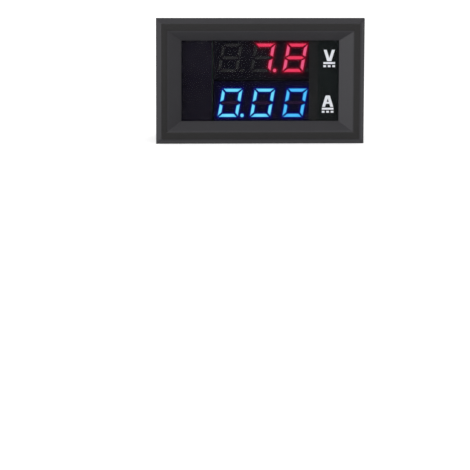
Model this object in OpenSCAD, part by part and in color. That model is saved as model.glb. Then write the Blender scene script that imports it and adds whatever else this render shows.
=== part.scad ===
// Dual-row digital panel meter for a rectangular cut-out.
// X runs along the bezel, Z is up, and +Y points from the front of the bezel into the panel.
// The origin is the centre of the cut-out, on the back face of the bezel.

/* [Bezel] */
// Width of the bezel
bezel_w = 48; // [47:0.5:56]
// Height of the bezel
bezel_h = 29; // [28:0.5:36]
// Thickness of the bezel in front of the panel
bezel_t = 2.6; // [2.4:0.1:3.6]
// Width of the chamfer round the bezel
edge_w = 1; // [0.4:0.1:1.6]
// Depth of the chamfer round the bezel
edge_d = 1.3; // [0.4:0.1:2]
// Bezel left flat at each side, with the chamfer
frame_side = 2.56; // [2:0.02:3.2]
// Bezel left flat at top and bottom, with the chamfer
frame_top = 2.92; // [2:0.02:3.2]
// Depth of the slope that leads down to the window
slope_d = 2.05; // [1.2:0.05:2.3]
// Straight lip between the slope and the lens
lip_d = 0.25; // [0.1:0.05:0.6]

/* [Window and lens] */
// Width of the window
window_w = 36.3; // [34:0.1:38]
// Height of the window
window_h = 18.6; // [17:0.1:19.4]
// Thickness of the lens
lens_t = 0.8; // [0.5:0.1:1.5]
// How far the lens reaches behind the window's edge
lens_border = 1.4; // [0.8:0.1:1.8]
// Gap round the lens in its recess
lens_gap = 0.1; // [0.05:0.01:0.3]

/* [Case] */
// Width of the case behind the bezel
case_w = 45; // [44.4:0.1:46]
// Height of the case behind the bezel
case_h = 26; // [25.4:0.1:27]
// Depth of the case behind the bezel
case_d = 18.4; // [18:0.2:24]
// Thickness of the case wall
wall = 1.3; // [1:0.05:1.5]
// Radius of the case's long corners
corner_r = 0.8; // [0.4:0.1:1.2]
// Lead-in chamfer round the open rear rim
rim_chamfer = 0.5; // [0.2:0.1:0.8]
// Length of the ribs in the corners that the circuit board rests on
rib_l = 4.4; // [3:0.2:5]
// Thickness of those ribs
rib_w = 1.5; // [1:0.1:1.5]
// Length of each catch that holds the circuit board
catch_l = 5; // [3:0.5:8]
// How far each catch stands out of the wall
catch_out = 0.7; // [0.4:0.05:0.9]
// Distance of the catches from the middle
catch_x = 10.5; // [9:0.5:14]

/* [Snap tongues] */
// Width of the spring tongue in each side wall
tongue_w = 8; // [5:0.5:10]
// Thickness of the tongue
tongue_t = 1; // [0.8:0.05:1.2]
// How far the tongue's barb stands out of the wall
barb_out = 1.1; // [0.8:0.05:1.2]
// Thickest panel that fits between the bezel and the tongue's tip
panel_t = 2.1; // [2.1:0.1:3]
// Length of the stepped end of the tongue
barb_l = 1.7; // [1.2:0.1:2.4]
// Distance of the tongue's root from the rear rim
root_rim = 3.8; // [2.5:0.1:5]
// Slot left free round the tongue
tongue_slot = 0.8; // [0.5:0.1:1.2]

/* [Displays] */
// Material beside the first and the last digit cell of a display block
display_margin = 0; // [0:0.05:0.3]
// Height of each display block
display_h = 10; // [9.8:0.1:10.2]
// Depth of each display block
display_t = 6.1; // [5:0.1:7]
// Gap between the two display blocks
display_split = 0.42; // [0.1:0.02:0.8]
// Sideways offset of the displays from the middle
display_x = 0.62; // [0:0.02:1.2]
// Gap between the lens and the displays
display_gap = 0.1; // [0.05:0.05:0.4]
// Distance between the digits
digit_pitch = 7.5; // [7:0.1:7.8]
// Width of a digit
digit_w = 4.8; // [4:0.1:5]
// Height of a digit
digit_h = 6.7; // [5.6:0.1:7.4]
// Width of a segment
stroke = 0.85; // [0.6:0.05:1]
// Gap between neighbouring segments
mitre_gap = 0.32; // [0.15:0.01:0.4]
// Slant of the digits, in degrees
slant = 10; // [0:0.5:12]
// Diameter of the decimal points
point_d = 0.95; // [0.6:0.05:1.1]
// Thickness of each display's own small board
base_t = 1; // [0.8:0.1:1.6]
// Distance between the display pins
pin_pitch = 2.54; // [2:0.01:2.6]
// Distance of the pin rows from the long edges of a display
pin_inset = 1; // [0.8:0.05:1.1]

/* [Circuit board] */
// Thickness of the circuit board
board_t = 1.6; // [1:0.1:2]
// Gap between the circuit board and the case
board_gap = 0.2; // [0.1:0.05:0.3]
// Play between the circuit board and its catches
catch_gap = 0.1; // [0.05:0.01:0.3]
// Free length of the display pins behind the board
pin_tail = 1.2; // [0.8:0.1:1.8]

/* [Power socket] */
// Number of ways of the power socket
power_ways = 3; // [2:1:3]
// Distance between its contacts
power_pitch = 2.5; // [2.4:0.05:2.6]
// Height of the power socket above the board
power_h = 7; // [6:0.1:8]
// Distance of its middle from the board's side edge
power_edge = 4.4; // [3.6:0.1:5]
// Height of its middle above the centre of the board
power_z = 3; // [0:0.5:6]

/* [Current socket] */
// Distance between the contacts of the current socket
current_pitch = 3.96; // [3.6:0.02:4.2]
// Height of its locking wall above the board
current_h = 8.6; // [7.5:0.1:9.2]
// Distance of its middle from the board's side edge
current_edge = 4.8; // [4.2:0.1:5]
// Height of its middle above the centre of the board
current_z = -2.5; // [-6:0.5:-1.5]

/* [Trimmers] */
// Width of a trimmer
trimmer_w = 3.6; // [3.2:0.1:4]
// Diameter of a trimmer's rotor
rotor_d = 2.8; // [2.4:0.1:3]
// Turn of a trimmer from one stop to the other, in degrees
trimmer_turn = 244; // [180:2:280]
// Distance of the trimmers from the middle of the board
trimmer_z = 5.4; // [4.6:0.1:7]

/* [Hidden] */
$fn = 48;

// Overshoot of a cutting tool past the face that it cuts
cut = 1;

// Colours
black_plastic = [0.17, 0.17, 0.175];
smoked_acrylic = [0.06, 0.06, 0.08, 0.5];
display_black = [0.05, 0.05, 0.055];
unlit_resin = [0.16, 0.16, 0.16];
lit_red = [1.0, 0.16, 0.26];
lit_blue = [0.25, 0.72, 1.0];
base_green = [0.2, 0.42, 0.2];
board_green = [0.03, 0.22, 0.11];
tin = [0.78, 0.78, 0.76];
solder = [0.72, 0.73, 0.74];
nylon = [0.93, 0.92, 0.88];
ceramic = [0.88, 0.86, 0.8];
chip_black = [0.09, 0.09, 0.095];
capacitor_tan = [0.62, 0.47, 0.32];
tantalum_yellow = [0.86, 0.6, 0.16];

// Depths of the stacked parts, from the back of the bezel
lens_front = -bezel_t + slope_d + lip_d;
lens_back = lens_front + lens_t;
display_front = lens_back + display_gap;
board_front = display_front + display_t;
board_back = board_front + board_t;
base_front = board_front - base_t;

// How far the slope and the ribs are carried on into the air or into a wall, so that no skin is left
slope_past = 0.5;
rib_root = wall / 2;

// Catches and snap tongues
catch_land = 0.4;
tongue_root_y = case_d - root_rim;
tongue_peak_y = panel_t + barb_l;
tongue_turn = 0.5;
grip_steps = 3;
grip_left = 0.15;

// Inside of the case, and the recess that takes the lens
inner_w = case_w - 2 * wall;
inner_h = case_h - 2 * wall;
lens_w = window_w + 2 * lens_border;
lens_h = window_h + 2 * lens_border;
recess_w = lens_w + 2 * lens_gap;
recess_h = lens_h + 2 * lens_gap;
board_w = inner_w - 2 * board_gap;
board_h = inner_h - 2 * board_gap;

// Display blocks, with one cell for each digit, and the places of the rows, the digits and the pins
digits = 3;
display_w = digits * digit_pitch + 2 * display_margin;
display_rim = 0.7;
row_z = (display_h + display_split) / 2;
pin_columns = 6;
digit_xs = [for (i = [0:digits - 1]) display_x + (i - (digits - 1) / 2) * digit_pitch];
pin_xs = [for (i = [0:pin_columns - 1]) display_x + (i - (pin_columns - 1) / 2) * pin_pitch];
pin_row = display_h / 2 - pin_inset;
pin_w = 0.5;
pin_hole_d = 0.9;
pad_d = 1.3;

// Circuit board corners, and solder joints: their height and the solder left round the tip of the pin
board_corner_r = 0.6;
solder_rise = 0.75;
solder_skin = 0.08;

// Readings: the character of each digit, and the digit that the decimal point follows
red_reading = [" ", "7", "8"];
red_point = 1;
blue_reading = ["0", "0", "0"];
blue_point = 0;

// Decimal point: its gap to the digit, and how far it drops below the digit
point_gap = 0.41;
point_drop = 0.05;
point_z = point_d / 2 - digit_h / 2 - point_drop;
point_x = digit_w / 2 + point_z * tan(slant) + point_gap + point_d / 2;
// Tips of the middle segment and of the upright segments beside it
middle_tip = 0.25;
middle_shoulder = 0.12;
upright_gap = 0.2;
upright_rise = 0.4;

// Sockets
power_wall = 0.7;
power_end = 2.45;
power_l = (power_ways - 1) * power_pitch + 2 * power_end;
power_w = 5.75;
power_base = 1.2;
power_pin = 0.64;
power_pin_h = 5.6;
power_pin_x = -0.5;
power_hole_d = 1;
power_pad_d = 1.9;
power_x = board_w / 2 - power_edge;
power_pin_zs = [for (i = [0:power_ways - 1]) power_z + (i - (power_ways - 1) / 2) * power_pitch];
key_slot_w = 1.3;
key_slot_inset = 1.5;
end_notch_w = 0.9;
end_notch_d = 2.4;

current_end = 1.95;
current_l = current_pitch + 2 * current_end;
current_w = 7.6;
current_base = 3.4;
current_wall = 1.1;
current_wall_l = 5;
current_pin = 1.14;
current_pin_h = 8.8;
current_pin_x = 0.7;
current_hole_d = 1.7;
current_pad_d = 2.9;
current_x = -board_w / 2 + current_edge;
current_pin_zs = [for (s = [-1, 1]) current_z + s * current_pitch / 2];
lock_out = 0.45;
lock_h = 1.4;
relief_w = 0.8;
relief_end = 0.6;
socket_tail = 1.4;

// Trimmers
trimmer_l = 3.8;
trimmer_t = 0.7;
rotor_t = 0.45;
rotor_gap = 0.05;
rotor_hub_d = 1.1;
rotor_hub_l = 0.5;
rotor_slot_w = 0.38;
rotor_slot_d = 0.25;
rotor_slot_inset = 0.28;
stop_reach = 0.32;
stop_root = 0.2;
trimmer_contact_t = 0.3;
trimmer_contact_h = 0.55;
trimmer_wiper_w = 1.5;
trimmer_end_w = 0.7;
trimmer_end_inset = 0.15;
stop_half = (360 - trimmer_turn) / 4;
trimmer_gap = 1.3;
trimmer_x = power_x - power_w / 2 - trimmer_gap - trimmer_w / 2;

// Packages on the board, as [size along X, size along Z, height]
controller_size = [4.4, 5, 1];
amplifier_size = [3.9, 4.9, 1.4];
regulator_size = [4.5, 2.5, 1.5];
diode_size = [2.6, 4.3, 2.1];
bulk_size = [2.8, 3.5, 1.9];
standoff = 0.1;
draft = 0.12;
dimple_d = 0.7;
dimple_inset = 0.8;
dimple_depth = 0.06;

// Bent leads: their number on a side, pitch, width and reach from the middle of the package
controller_leads_n = 8;
controller_pitch = 0.65;
controller_lead_w = 0.25;
controller_reach = 3.2;
amplifier_leads_n = 4;
amplifier_pitch = 1.27;
amplifier_lead_w = 0.42;
amplifier_reach = 3;
lead_t = 0.15;
lead_foot = 0.5;
lead_shoulder = 0.3;

// Feet and heat tab of the regulator, and flat end contacts
regulator_foot = [0.45, 1, 0.4];
regulator_foot_pitch = 1.5;
regulator_tab = [1.7, 0.8, 0.4];
contact_t = 0.25;
diode_contact_w = 1.5;
bulk_contact_w = 2.2;

// Small chips, each lying along X
chip_size = [1.6, 0.8];
resistor_t = 0.45;
capacitor_t = 0.8;
end_cap = 0.28;
chip_pitch = 1.35;
block_pitch_x = 3.2;
block_pitch_z = 2;
pair_pitch_z = 2;

// Places of the packages on the board
controller_x = display_x;
controller_z = row_z;
amplifier_offset = 3.8;
amplifier_x = display_x - amplifier_offset;
amplifier_z = -row_z;
regulator_x = (amplifier_x + amplifier_reach + trimmer_x - trimmer_w / 2) / 2;
regulator_z = -row_z;
column_x = (current_x + current_w / 2 + amplifier_x - amplifier_reach) / 2;
diode_z = -4.7;
bulk_z = 5;

// Places of the small chips, halfway between their neighbours
left_block_x = current_x;
left_block_z = (board_h / 2 + current_z + current_l / 2) / 2;
right_block_x = power_x;
right_block_z = (-board_h / 2 + power_z - power_l / 2) / 2;
beside_pins_x = (pin_xs[5] + pad_d / 2 + power_x - power_w / 2) / 2;
left_pair_x = (controller_x - controller_reach + column_x + bulk_size[0] / 2) / 2;
right_pair_x = (controller_x + controller_reach + trimmer_x - trimmer_w / 2) / 2;

// ---- Shapes used by more than one part ----

// Block centred on x and z, from y0 to y1
module slab(w, h, y0, y1, x = 0, z = 0) {
    translate([x - w / 2, y0, z - h / 2]) cube([w, y1 - y0, h]);
}

// Solid whose plan and side outlines are both given, as [across, y] points
module cross_profiles(plan, side, w, h) {
    intersection() {
        translate([0, 0, -h / 2]) linear_extrude(height = h) polygon(plan);
        translate([-w / 2, 0, 0])
            rotate([90, 0, 90])
            linear_extrude(height = w)
            polygon([for (p = side) [p[1], p[0]]]);
    }
}

// Outline in x and z, carried from y0 to y1
module prism(points, y0, y1) {
    translate([0, y1, 0]) rotate([90, 0, 0]) linear_extrude(height = y1 - y0) polygon(points);
}

// Round bar along y
module rod(d, y0, y1, x = 0, z = 0) {
    translate([x, y0, z]) rotate([-90, 0, 0]) cylinder(d = d, h = y1 - y0);
}

// Square bar along y
module bar(side, y0, y1, x = 0, z = 0) {
    slab(side, side, y0, y1, x, z);
}

// Solder drawn up in a hollow curve round a square pin, on a face of the board: dir is 1 behind it, -1 in front
module solder_joint(pad, pin, face, dir, x, z) {
    tip_r = pin / sqrt(2) + solder_skin;
    spread = pad / 2 - tip_r;
    curve = [for (a = [0, 30, 60]) [pad / 2 - spread * sin(a), solder_rise * (1 - cos(a))]];
    difference() {
        translate([x, face, z])
            rotate([dir > 0 ? -90 : 90, 0, 0])
            rotate_extrude()
            polygon(concat([[0, 0]], curve, [[tip_r, solder_rise], [0, solder_rise]]));
        bar(pin, face - cut, face + cut, x, z);
    }
}

// ---- Housing ----

function bezel_profile(half) = [
    [-half, 0], [-half, -(bezel_t - edge_d)], [-half + edge_w, -bezel_t],
    [half - edge_w, -bezel_t], [half, -(bezel_t - edge_d)], [half, 0]];

function taper_profile(front_half, back_half, y0, y1) = [
    [-front_half, y0], [front_half, y0], [back_half, y1], [-back_half, y1]];

function rim_profile(half) = [
    [-half, -bezel_t / 2], [half, -bezel_t / 2], [half, case_d - rim_chamfer],
    [half - rim_chamfer, case_d], [-half + rim_chamfer, case_d], [-half, case_d - rim_chamfer]];

module bezel() {
    cross_profiles(bezel_profile(bezel_w / 2), bezel_profile(bezel_h / 2), bezel_w, bezel_h);
}

module rounded_outline(w, h, r) {
    square([w, h - 2 * r], center = true);
    square([w - 2 * r, h], center = true);
    for (sx = [-1, 1])
        for (sz = [-1, 1])
            translate([sx * (w / 2 - r), sz * (h / 2 - r)]) circle(r = r);
}

module case_outside() {
    intersection() {
        translate([0, case_d, 0])
            rotate([90, 0, 0])
            linear_extrude(height = case_d + bezel_t / 2)
            rounded_outline(case_w, case_h, corner_r);
        cross_profiles(rim_profile(case_w / 2), rim_profile(case_h / 2), case_w, case_h);
    }
}

module window_slope() {
    slope_w = bezel_w / 2 - frame_side;
    slope_h = bezel_h / 2 - frame_top;
    rise_w = (slope_w - window_w / 2) * slope_past / slope_d;
    rise_h = (slope_h - window_h / 2) * slope_past / slope_d;
    y0 = -bezel_t - slope_past;
    y1 = -bezel_t + slope_d;
    cross_profiles(
        taper_profile(slope_w + rise_w, window_w / 2, y0, y1),
        taper_profile(slope_h + rise_h, window_h / 2, y0, y1),
        2 * (slope_w + rise_w), 2 * (slope_h + rise_h));
}

// Ribs on the short walls, one in each corner, between the floor of the case and the board
module board_ribs() {
    for (sx = [-1, 1])
        for (sz = [-1, 1])
            slab(rib_w + rib_root, rib_l + rib_root, lens_back, board_front,
                sx * (inner_w - rib_w + rib_root) / 2, sz * (inner_h - rib_l + rib_root) / 2);
}

// Wedge on the inside of a long wall: square in front, sloping behind
module board_catch(side) {
    y0 = board_back + catch_gap;
    y1 = y0 + catch_land;
    y2 = y1 + 2 * catch_out;
    z0 = inner_h / 2;
    outline = [[y0, z0 + rib_root], [y0, z0 - catch_out], [y1, z0 - catch_out],
        [y2, z0], [y2, z0 + rib_root]];
    translate([-catch_l / 2, 0, 0])
        rotate([90, 0, 90])
        linear_extrude(height = catch_l)
        polygon([for (p = outline) [p[0], side * p[1]]]);
}

// Spring tongue of one side wall, in plan: it flares out towards the panel and ends in grip steps
module snap_tongue(side) {
    out = case_w / 2;
    tip = out + barb_out;
    step_x = (barb_out - grip_left) / grip_steps;
    step_y = barb_l / grip_steps;
    grip = [for (i = [0:grip_steps - 1])
        for (p = [[i, 0.35], [i + 1, 0.75]])
            [tip - p[0] * step_x, tongue_peak_y - (i + p[1]) * step_y]];
    outline = concat(
        [[out - tongue_t, tongue_root_y + wall], [out, tongue_root_y + wall],
            [out, tongue_root_y], [tip, tongue_peak_y]],
        grip,
        [[out + grip_left, panel_t], [out - tongue_t / 2, panel_t],
            [tip - tongue_t, tongue_peak_y + tongue_turn], [out - tongue_t, tongue_root_y]]);
    translate([0, 0, -tongue_w / 2])
        linear_extrude(height = tongue_w)
        polygon([for (p = outline) [side * p[0], p[1]]]);
}

module tongue_window(side) {
    slab(wall + 2 * cut, tongue_w + 2 * tongue_slot, tongue_slot, tongue_root_y,
        side * (case_w - wall) / 2, 0);
}

module housing() {
    color(black_plastic)
    union() {
        difference() {
            union() {
                bezel();
                case_outside();
            }
            window_slope();
            slab(window_w, window_h, -bezel_t, lens_back);
            slab(recess_w, recess_h, lens_front, lens_back + cut / 2);
            slab(inner_w, inner_h, lens_back, case_d + cut);
            for (side = [-1, 1]) tongue_window(side);
        }
        board_ribs();
        for (side = [-1, 1]) {
            snap_tongue(side);
            for (sx = [-1, 1]) translate([sx * catch_x, 0, 0]) board_catch(side);
        }
    }
}

module lens() {
    color(smoked_acrylic)
        slab(lens_w, lens_h, lens_front, lens_back);
}

// ---- Displays ----

function flipped(points, sx, sz) = [for (p = points) [sx * p[0], sz * p[1]]];

function lying_segment() =
    let (w = digit_w / 2, h = digit_h / 2, m = mitre_gap / sqrt(2))
    [[-w + m, h], [w - m, h], [w - stroke - m, h - stroke], [-w + stroke + m, h - stroke]];

function upright_segment() =
    let (w = digit_w / 2, h = digit_h / 2, m = mitre_gap / sqrt(2))
    [[w, h - m], [w, upright_gap], [w - stroke, upright_gap + upright_rise], [w - stroke, h - stroke - m]];

function middle_segment() =
    let (tip = digit_w / 2 - middle_tip, shoulder = digit_w / 2 - stroke - middle_shoulder, t = stroke / 2)
    [[-tip, 0], [-shoulder, t], [shoulder, t], [tip, 0], [shoulder, -t], [-shoulder, -t]];

function segment_outline(name) =
    name == "a" ? lying_segment() :
    name == "d" ? flipped(lying_segment(), 1, -1) :
    name == "b" ? upright_segment() :
    name == "c" ? flipped(upright_segment(), 1, -1) :
    name == "e" ? flipped(upright_segment(), -1, -1) :
    name == "f" ? flipped(upright_segment(), -1, 1) :
    middle_segment();

function slanted(points) = [for (p = points) [p[0] + p[1] * tan(slant), p[1]]];

function lit_segments(character) =
    character == "0" ? "abcdef" :
    character == "1" ? "bc" :
    character == "2" ? "abdeg" :
    character == "3" ? "abcdg" :
    character == "4" ? "bcfg" :
    character == "5" ? "acdfg" :
    character == "6" ? "acdefg" :
    character == "7" ? "abc" :
    character == "8" ? "abcdefg" :
    character == "9" ? "abcdfg" : "";

function is_lit(name, character) = len(search(name, lit_segments(character))) > 0;

// Segments of one row of digits, over the whole depth of their wells: lit ones, unlit ones or both
module segments(row, reading, point, lit, unlit) {
    for (i = [0:digits - 1])
        translate([digit_xs[i], 0, row * row_z]) {
            for (name = ["a", "b", "c", "d", "e", "f", "g"])
                if (is_lit(name, reading[i]) ? lit : unlit)
                    prism(slanted(segment_outline(name)), display_front, base_front);
            if (i == point ? lit : unlit)
                rod(point_d, display_front, base_front, point_x, point_z);
        }
}

module display_case(row, reading, point) {
    color(display_black)
    difference() {
        slab(display_w, display_h, display_front, board_front, display_x, row * row_z);
        slab(display_w - 2 * display_rim, display_h - 2 * display_rim, base_front, board_front + cut,
            display_x, row * row_z);
        segments(row, reading, point, true, true);
    }
}

module display_base(row) {
    color(base_green)
    difference() {
        slab(display_w - 2 * display_rim, display_h - 2 * display_rim, base_front, board_front,
            display_x, row * row_z);
        display_pins(row);
    }
}

module display_pins(row) {
    color(tin)
    for (x = pin_xs)
        for (s = [-1, 1])
            bar(pin_w, base_front + base_t / 2, board_back + pin_tail, x, row * row_z + s * pin_row);
}

module display_solder() {
    color(solder)
    for (row = [-1, 1])
        for (x = pin_xs)
            for (s = [-1, 1])
                solder_joint(pad_d, pin_w, board_back, 1, x, row * row_z + s * pin_row);
}

// ---- Circuit board ----

module circuit_board() {
    color(board_green)
    difference() {
        translate([0, board_back, 0])
            rotate([90, 0, 0])
            linear_extrude(height = board_t)
            rounded_outline(board_w, board_h, board_corner_r);
        for (row = [-1, 1])
            for (x = pin_xs)
                for (s = [-1, 1])
                    rod(pin_hole_d, board_front - cut, board_back + cut, x, row * row_z + s * pin_row);
        for (z = power_pin_zs)
            rod(power_hole_d, board_front - cut, board_back + cut, power_x + power_pin_x, z);
        for (z = current_pin_zs)
            rod(current_hole_d, board_front - cut, board_back + cut, current_x + current_pin_x, z);
    }
}

module socket_solder() {
    color(solder) {
        for (z = power_pin_zs)
            solder_joint(power_pad_d, power_pin, board_front, -1, power_x + power_pin_x, z);
        for (z = current_pin_zs)
            solder_joint(current_pad_d, current_pin, board_front, -1, current_x + current_pin_x, z);
    }
}

// ---- Sockets ----

module power_socket_pins() {
    color(tin)
    for (z = power_pin_zs)
        bar(power_pin, board_front - socket_tail, board_back + power_pin_h, power_x + power_pin_x, z);
}

module power_socket() {
    y0 = board_back;
    color(nylon)
    difference() {
        slab(power_w, power_l, y0, y0 + power_h, power_x, power_z);
        slab(power_w - 2 * power_wall, power_l - 2 * power_wall, y0 + power_base, y0 + power_h + cut,
            power_x, power_z);
        // Keying slots in the outer long wall, and a notch in each end wall
        for (s = [-1, 1]) {
            slab(2 * power_wall, key_slot_w, y0 + power_base, y0 + power_h + cut,
                power_x + power_w / 2, power_z + s * (power_l / 2 - power_wall - key_slot_inset));
            slab(end_notch_w, 2 * power_wall + cut / 2, y0 + power_h - end_notch_d, y0 + power_h + cut,
                power_x + power_pin_x, power_z + s * power_l / 2);
        }
        power_socket_pins();
    }
}

module current_socket_pins() {
    color(tin)
    for (z = current_pin_zs)
        bar(current_pin, board_front - socket_tail, board_back + current_pin_h,
            current_x + current_pin_x, z);
}

// Locking wall of the current socket, in side view, with the lip that the plug's latch hooks on
module lock_wall() {
    x0 = current_x - current_w / 2;
    top = board_back + current_h;
    translate([0, 0, current_z - current_wall_l / 2])
        linear_extrude(height = current_wall_l)
        polygon([[x0, board_back], [x0 + current_wall, board_back],
            [x0 + current_wall, top - lock_h], [x0 + current_wall + lock_out, top - 0.75 * lock_h],
            [x0 + current_wall, top], [x0, top]]);
}

module current_socket() {
    color(nylon)
    difference() {
        union() {
            slab(current_w, current_l, board_back, board_back + current_base, current_x, current_z);
            lock_wall();
        }
        // Relief on the side away from the locking wall
        slab(2 * relief_w, current_pitch - 2 * relief_end, board_back + current_base / 2,
            board_back + current_base + cut, current_x + current_w / 2, current_z);
        current_socket_pins();
    }
}

// ---- Trimmers ----

// Ring sector about the middle of a trimmer, centred on an angle
module stop_sector(r0, r1, y0, y1, middle, half) {
    far = 2 * r1;
    intersection() {
        difference() {
            rod(2 * r1, y0, y1);
            rod(2 * r0, y0 - cut, y1 + cut);
        }
        prism([[0, 0], for (a = [-half, -half / 2, 0, half / 2, half])
            [far * cos(middle + a), far * sin(middle + a)]], y0, y1);
    }
}

module trimmer_base(z) {
    color(ceramic)
    translate([trimmer_x, board_back, z])
    union() {
        difference() {
            slab(trimmer_w, trimmer_l, 0, trimmer_t);
            rod(rotor_hub_d + 2 * rotor_gap, trimmer_t - rotor_hub_l, trimmer_t + cut);
        }
        stop_sector(rotor_d / 2 + rotor_gap, rotor_d / 2 + stop_reach,
            trimmer_t - stop_root, trimmer_t + rotor_t, -90, stop_half);
    }
}

module trimmer_rotor(z) {
    y0 = trimmer_t + rotor_gap;
    y1 = y0 + rotor_t;
    color(tin)
    translate([trimmer_x, board_back, z])
    difference() {
        union() {
            rod(rotor_d, y0, y1);
            rod(rotor_hub_d, y0 - rotor_hub_l + rotor_gap, y0 + rotor_t / 2);
            stop_sector(rotor_d / 2 - stop_root, rotor_d / 2 + stop_reach, y0, y1, 90, stop_half);
        }
        for (turn = [0, 90])
            rotate([0, turn, 0])
                slab(rotor_d - 2 * rotor_slot_inset, rotor_slot_w, y1 - rotor_slot_d, y1 + cut);
    }
}

// One wide contact above the trimmer and two narrow ones below it
module trimmer_terminals(z) {
    end = (trimmer_l + trimmer_contact_t) / 2;
    color(tin)
    translate([trimmer_x, board_back, z]) {
        slab(trimmer_wiper_w, trimmer_contact_t, 0, trimmer_contact_h, 0, end);
        for (s = [-1, 1])
            slab(trimmer_end_w, trimmer_contact_t, 0, trimmer_contact_h,
                s * ((trimmer_w - trimmer_end_w) / 2 - trimmer_end_inset), -end);
    }
}

// ---- Packages ----

// Moulded package: its edges are drawn in from the parting line to both faces
module package(size, x, z) {
    translate([x, board_back, z])
        cross_profiles(
            package_profile(size[0] / 2, size[2]),
            package_profile(size[1] / 2, size[2]),
            size[0], size[1]);
}

function package_profile(half, top) =
    let (split = (top + standoff) / 2, line = lead_t / 2)
    [[-half + draft, standoff], [half - draft, standoff], [half, split - line], [half, split + line],
        [half - draft, top], [-half + draft, top], [-half, split + line], [-half, split - line]];

// Package with a dimple beside its first lead
module marked_package(size, x, z) {
    difference() {
        package(size, x, z);
        rod(dimple_d, board_back + size[2] - dimple_depth, board_back + size[2] + cut,
            x + size[0] / 2 - dimple_inset, z + size[1] / 2 - dimple_inset);
    }
}

// Rows of bent leads on both sides of a package, which reach along X
module leads(size, count, pitch, lead_w, reach, x, z) {
    half = size[0] / 2;
    bend = half + lead_shoulder;
    y1 = (size[2] + standoff + lead_t) / 2;
    y0 = y1 - lead_t;
    for (side = [-1, 1])
        for (i = [0:count - 1])
            translate([x, board_back, z + (i - (count - 1) / 2) * pitch - lead_w / 2])
                linear_extrude(height = lead_w)
                polygon([for (p = [[half, y0], [bend, y0],
                    [reach - lead_foot - lead_t, 0], [reach, 0], [reach, lead_t],
                    [reach - lead_foot, lead_t], [bend + lead_t, y1], [half, y1]])
                    [side * p[0], p[1]]]);
}

// Pair of flat contacts at the ends of a package, along Z
module end_contacts(size, contact_w, x, z) {
    for (side = [-1, 1])
        slab(contact_w, contact_t, board_back, board_back + (size[2] + standoff + lead_t) / 2,
            x, z + side * (size[1] + contact_t) / 2);
}

module controller() {
    color(chip_black) marked_package(controller_size, controller_x, controller_z);
}

module controller_leads() {
    color(tin)
        leads(controller_size, controller_leads_n, controller_pitch, controller_lead_w,
            controller_reach, controller_x, controller_z);
}

module amplifier() {
    color(chip_black) marked_package(amplifier_size, amplifier_x, amplifier_z);
}

module amplifier_leads() {
    color(tin)
        leads(amplifier_size, amplifier_leads_n, amplifier_pitch, amplifier_lead_w,
            amplifier_reach, amplifier_x, amplifier_z);
}

module regulator() {
    color(chip_black) package(regulator_size, regulator_x, regulator_z);
}

// Three feet on one side of the regulator and its wide heat tab on the other
module regulator_leads() {
    half = regulator_size[1] / 2;
    color(tin)
    translate([regulator_x, board_back, regulator_z]) {
        for (i = [-1:1])
            slab(regulator_foot[0], regulator_foot[1], 0, regulator_foot[2],
                i * regulator_foot_pitch, -half - regulator_foot[1] / 2);
        slab(regulator_tab[0], regulator_tab[1], 0, regulator_tab[2], 0, half + regulator_tab[1] / 2);
    }
}

module input_diode() {
    color(chip_black) package(diode_size, column_x, diode_z);
}

module input_diode_terminals() {
    color(tin) end_contacts(diode_size, diode_contact_w, column_x, diode_z);
}

module bulk_capacitor() {
    color(tantalum_yellow) package(bulk_size, column_x, bulk_z);
}

module bulk_capacitor_terminals() {
    color(tin) end_contacts(bulk_size, bulk_contact_w, column_x, bulk_z);
}

// ---- Small chips ----

// Places of the resistors and of the capacitors, as [x, z]
resistor_places = [
    for (i = [-1:1]) [column_x, i * chip_pitch],
    for (i = [-1:1]) [beside_pins_x, i * chip_pitch],
    for (side = [-1, 1])
        for (i = [-1:1]) [left_block_x + side * block_pitch_x / 2, left_block_z + i * block_pitch_z],
    for (i = [-1:1]) [right_block_x - block_pitch_x / 2, right_block_z + i * block_pitch_z]];
capacitor_places = [
    for (i = [-1:1]) [right_block_x + block_pitch_x / 2, right_block_z + i * block_pitch_z],
    for (x = [left_pair_x, right_pair_x])
        for (i = [-1, 1]) [x, row_z + i * pair_pitch_z / 2]];

module chip_bodies(places, t) {
    for (p = places)
        slab(chip_size[0] - 2 * end_cap, chip_size[1], board_back, board_back + t, p[0], p[1]);
}

module chip_ends(places, t) {
    for (p = places)
        for (side = [-1, 1])
            slab(end_cap, chip_size[1], board_back, board_back + t,
                p[0] + side * (chip_size[0] - end_cap) / 2, p[1]);
}

// ---- The meter ----

housing();
lens();
display_case(1, red_reading, red_point);  // red_display_case
display_base(1);  // red_display_base
display_pins(1);  // red_display_pins
color(lit_red) segments(1, red_reading, red_point, true, false);  // red_segments_lit
color(unlit_resin) segments(1, red_reading, red_point, false, true);  // red_segments_unlit
display_case(-1, blue_reading, blue_point);  // blue_display_case
display_base(-1);  // blue_display_base
display_pins(-1);  // blue_display_pins
color(lit_blue) segments(-1, blue_reading, blue_point, true, false);  // blue_segments_lit
color(unlit_resin) segments(-1, blue_reading, blue_point, false, true);  // blue_segments_unlit
circuit_board();
display_solder();
socket_solder();
power_socket();
power_socket_pins();
current_socket();
current_socket_pins();
trimmer_base(trimmer_z);  // volt_trimmer_base
trimmer_rotor(trimmer_z);  // volt_trimmer_rotor
trimmer_terminals(trimmer_z);  // volt_trimmer_terminals
trimmer_base(-trimmer_z);  // amp_trimmer_base
trimmer_rotor(-trimmer_z);  // amp_trimmer_rotor
trimmer_terminals(-trimmer_z);  // amp_trimmer_terminals
controller();
controller_leads();
amplifier();
amplifier_leads();
regulator();
regulator_leads();
input_diode();
input_diode_terminals();
bulk_capacitor();
bulk_capacitor_terminals();
color(chip_black) chip_bodies(resistor_places, resistor_t);  // chip_resistors
color(tin) chip_ends(resistor_places, resistor_t);  // resistor_end_caps
color(capacitor_tan) chip_bodies(capacitor_places, capacitor_t);  // chip_capacitors
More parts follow.
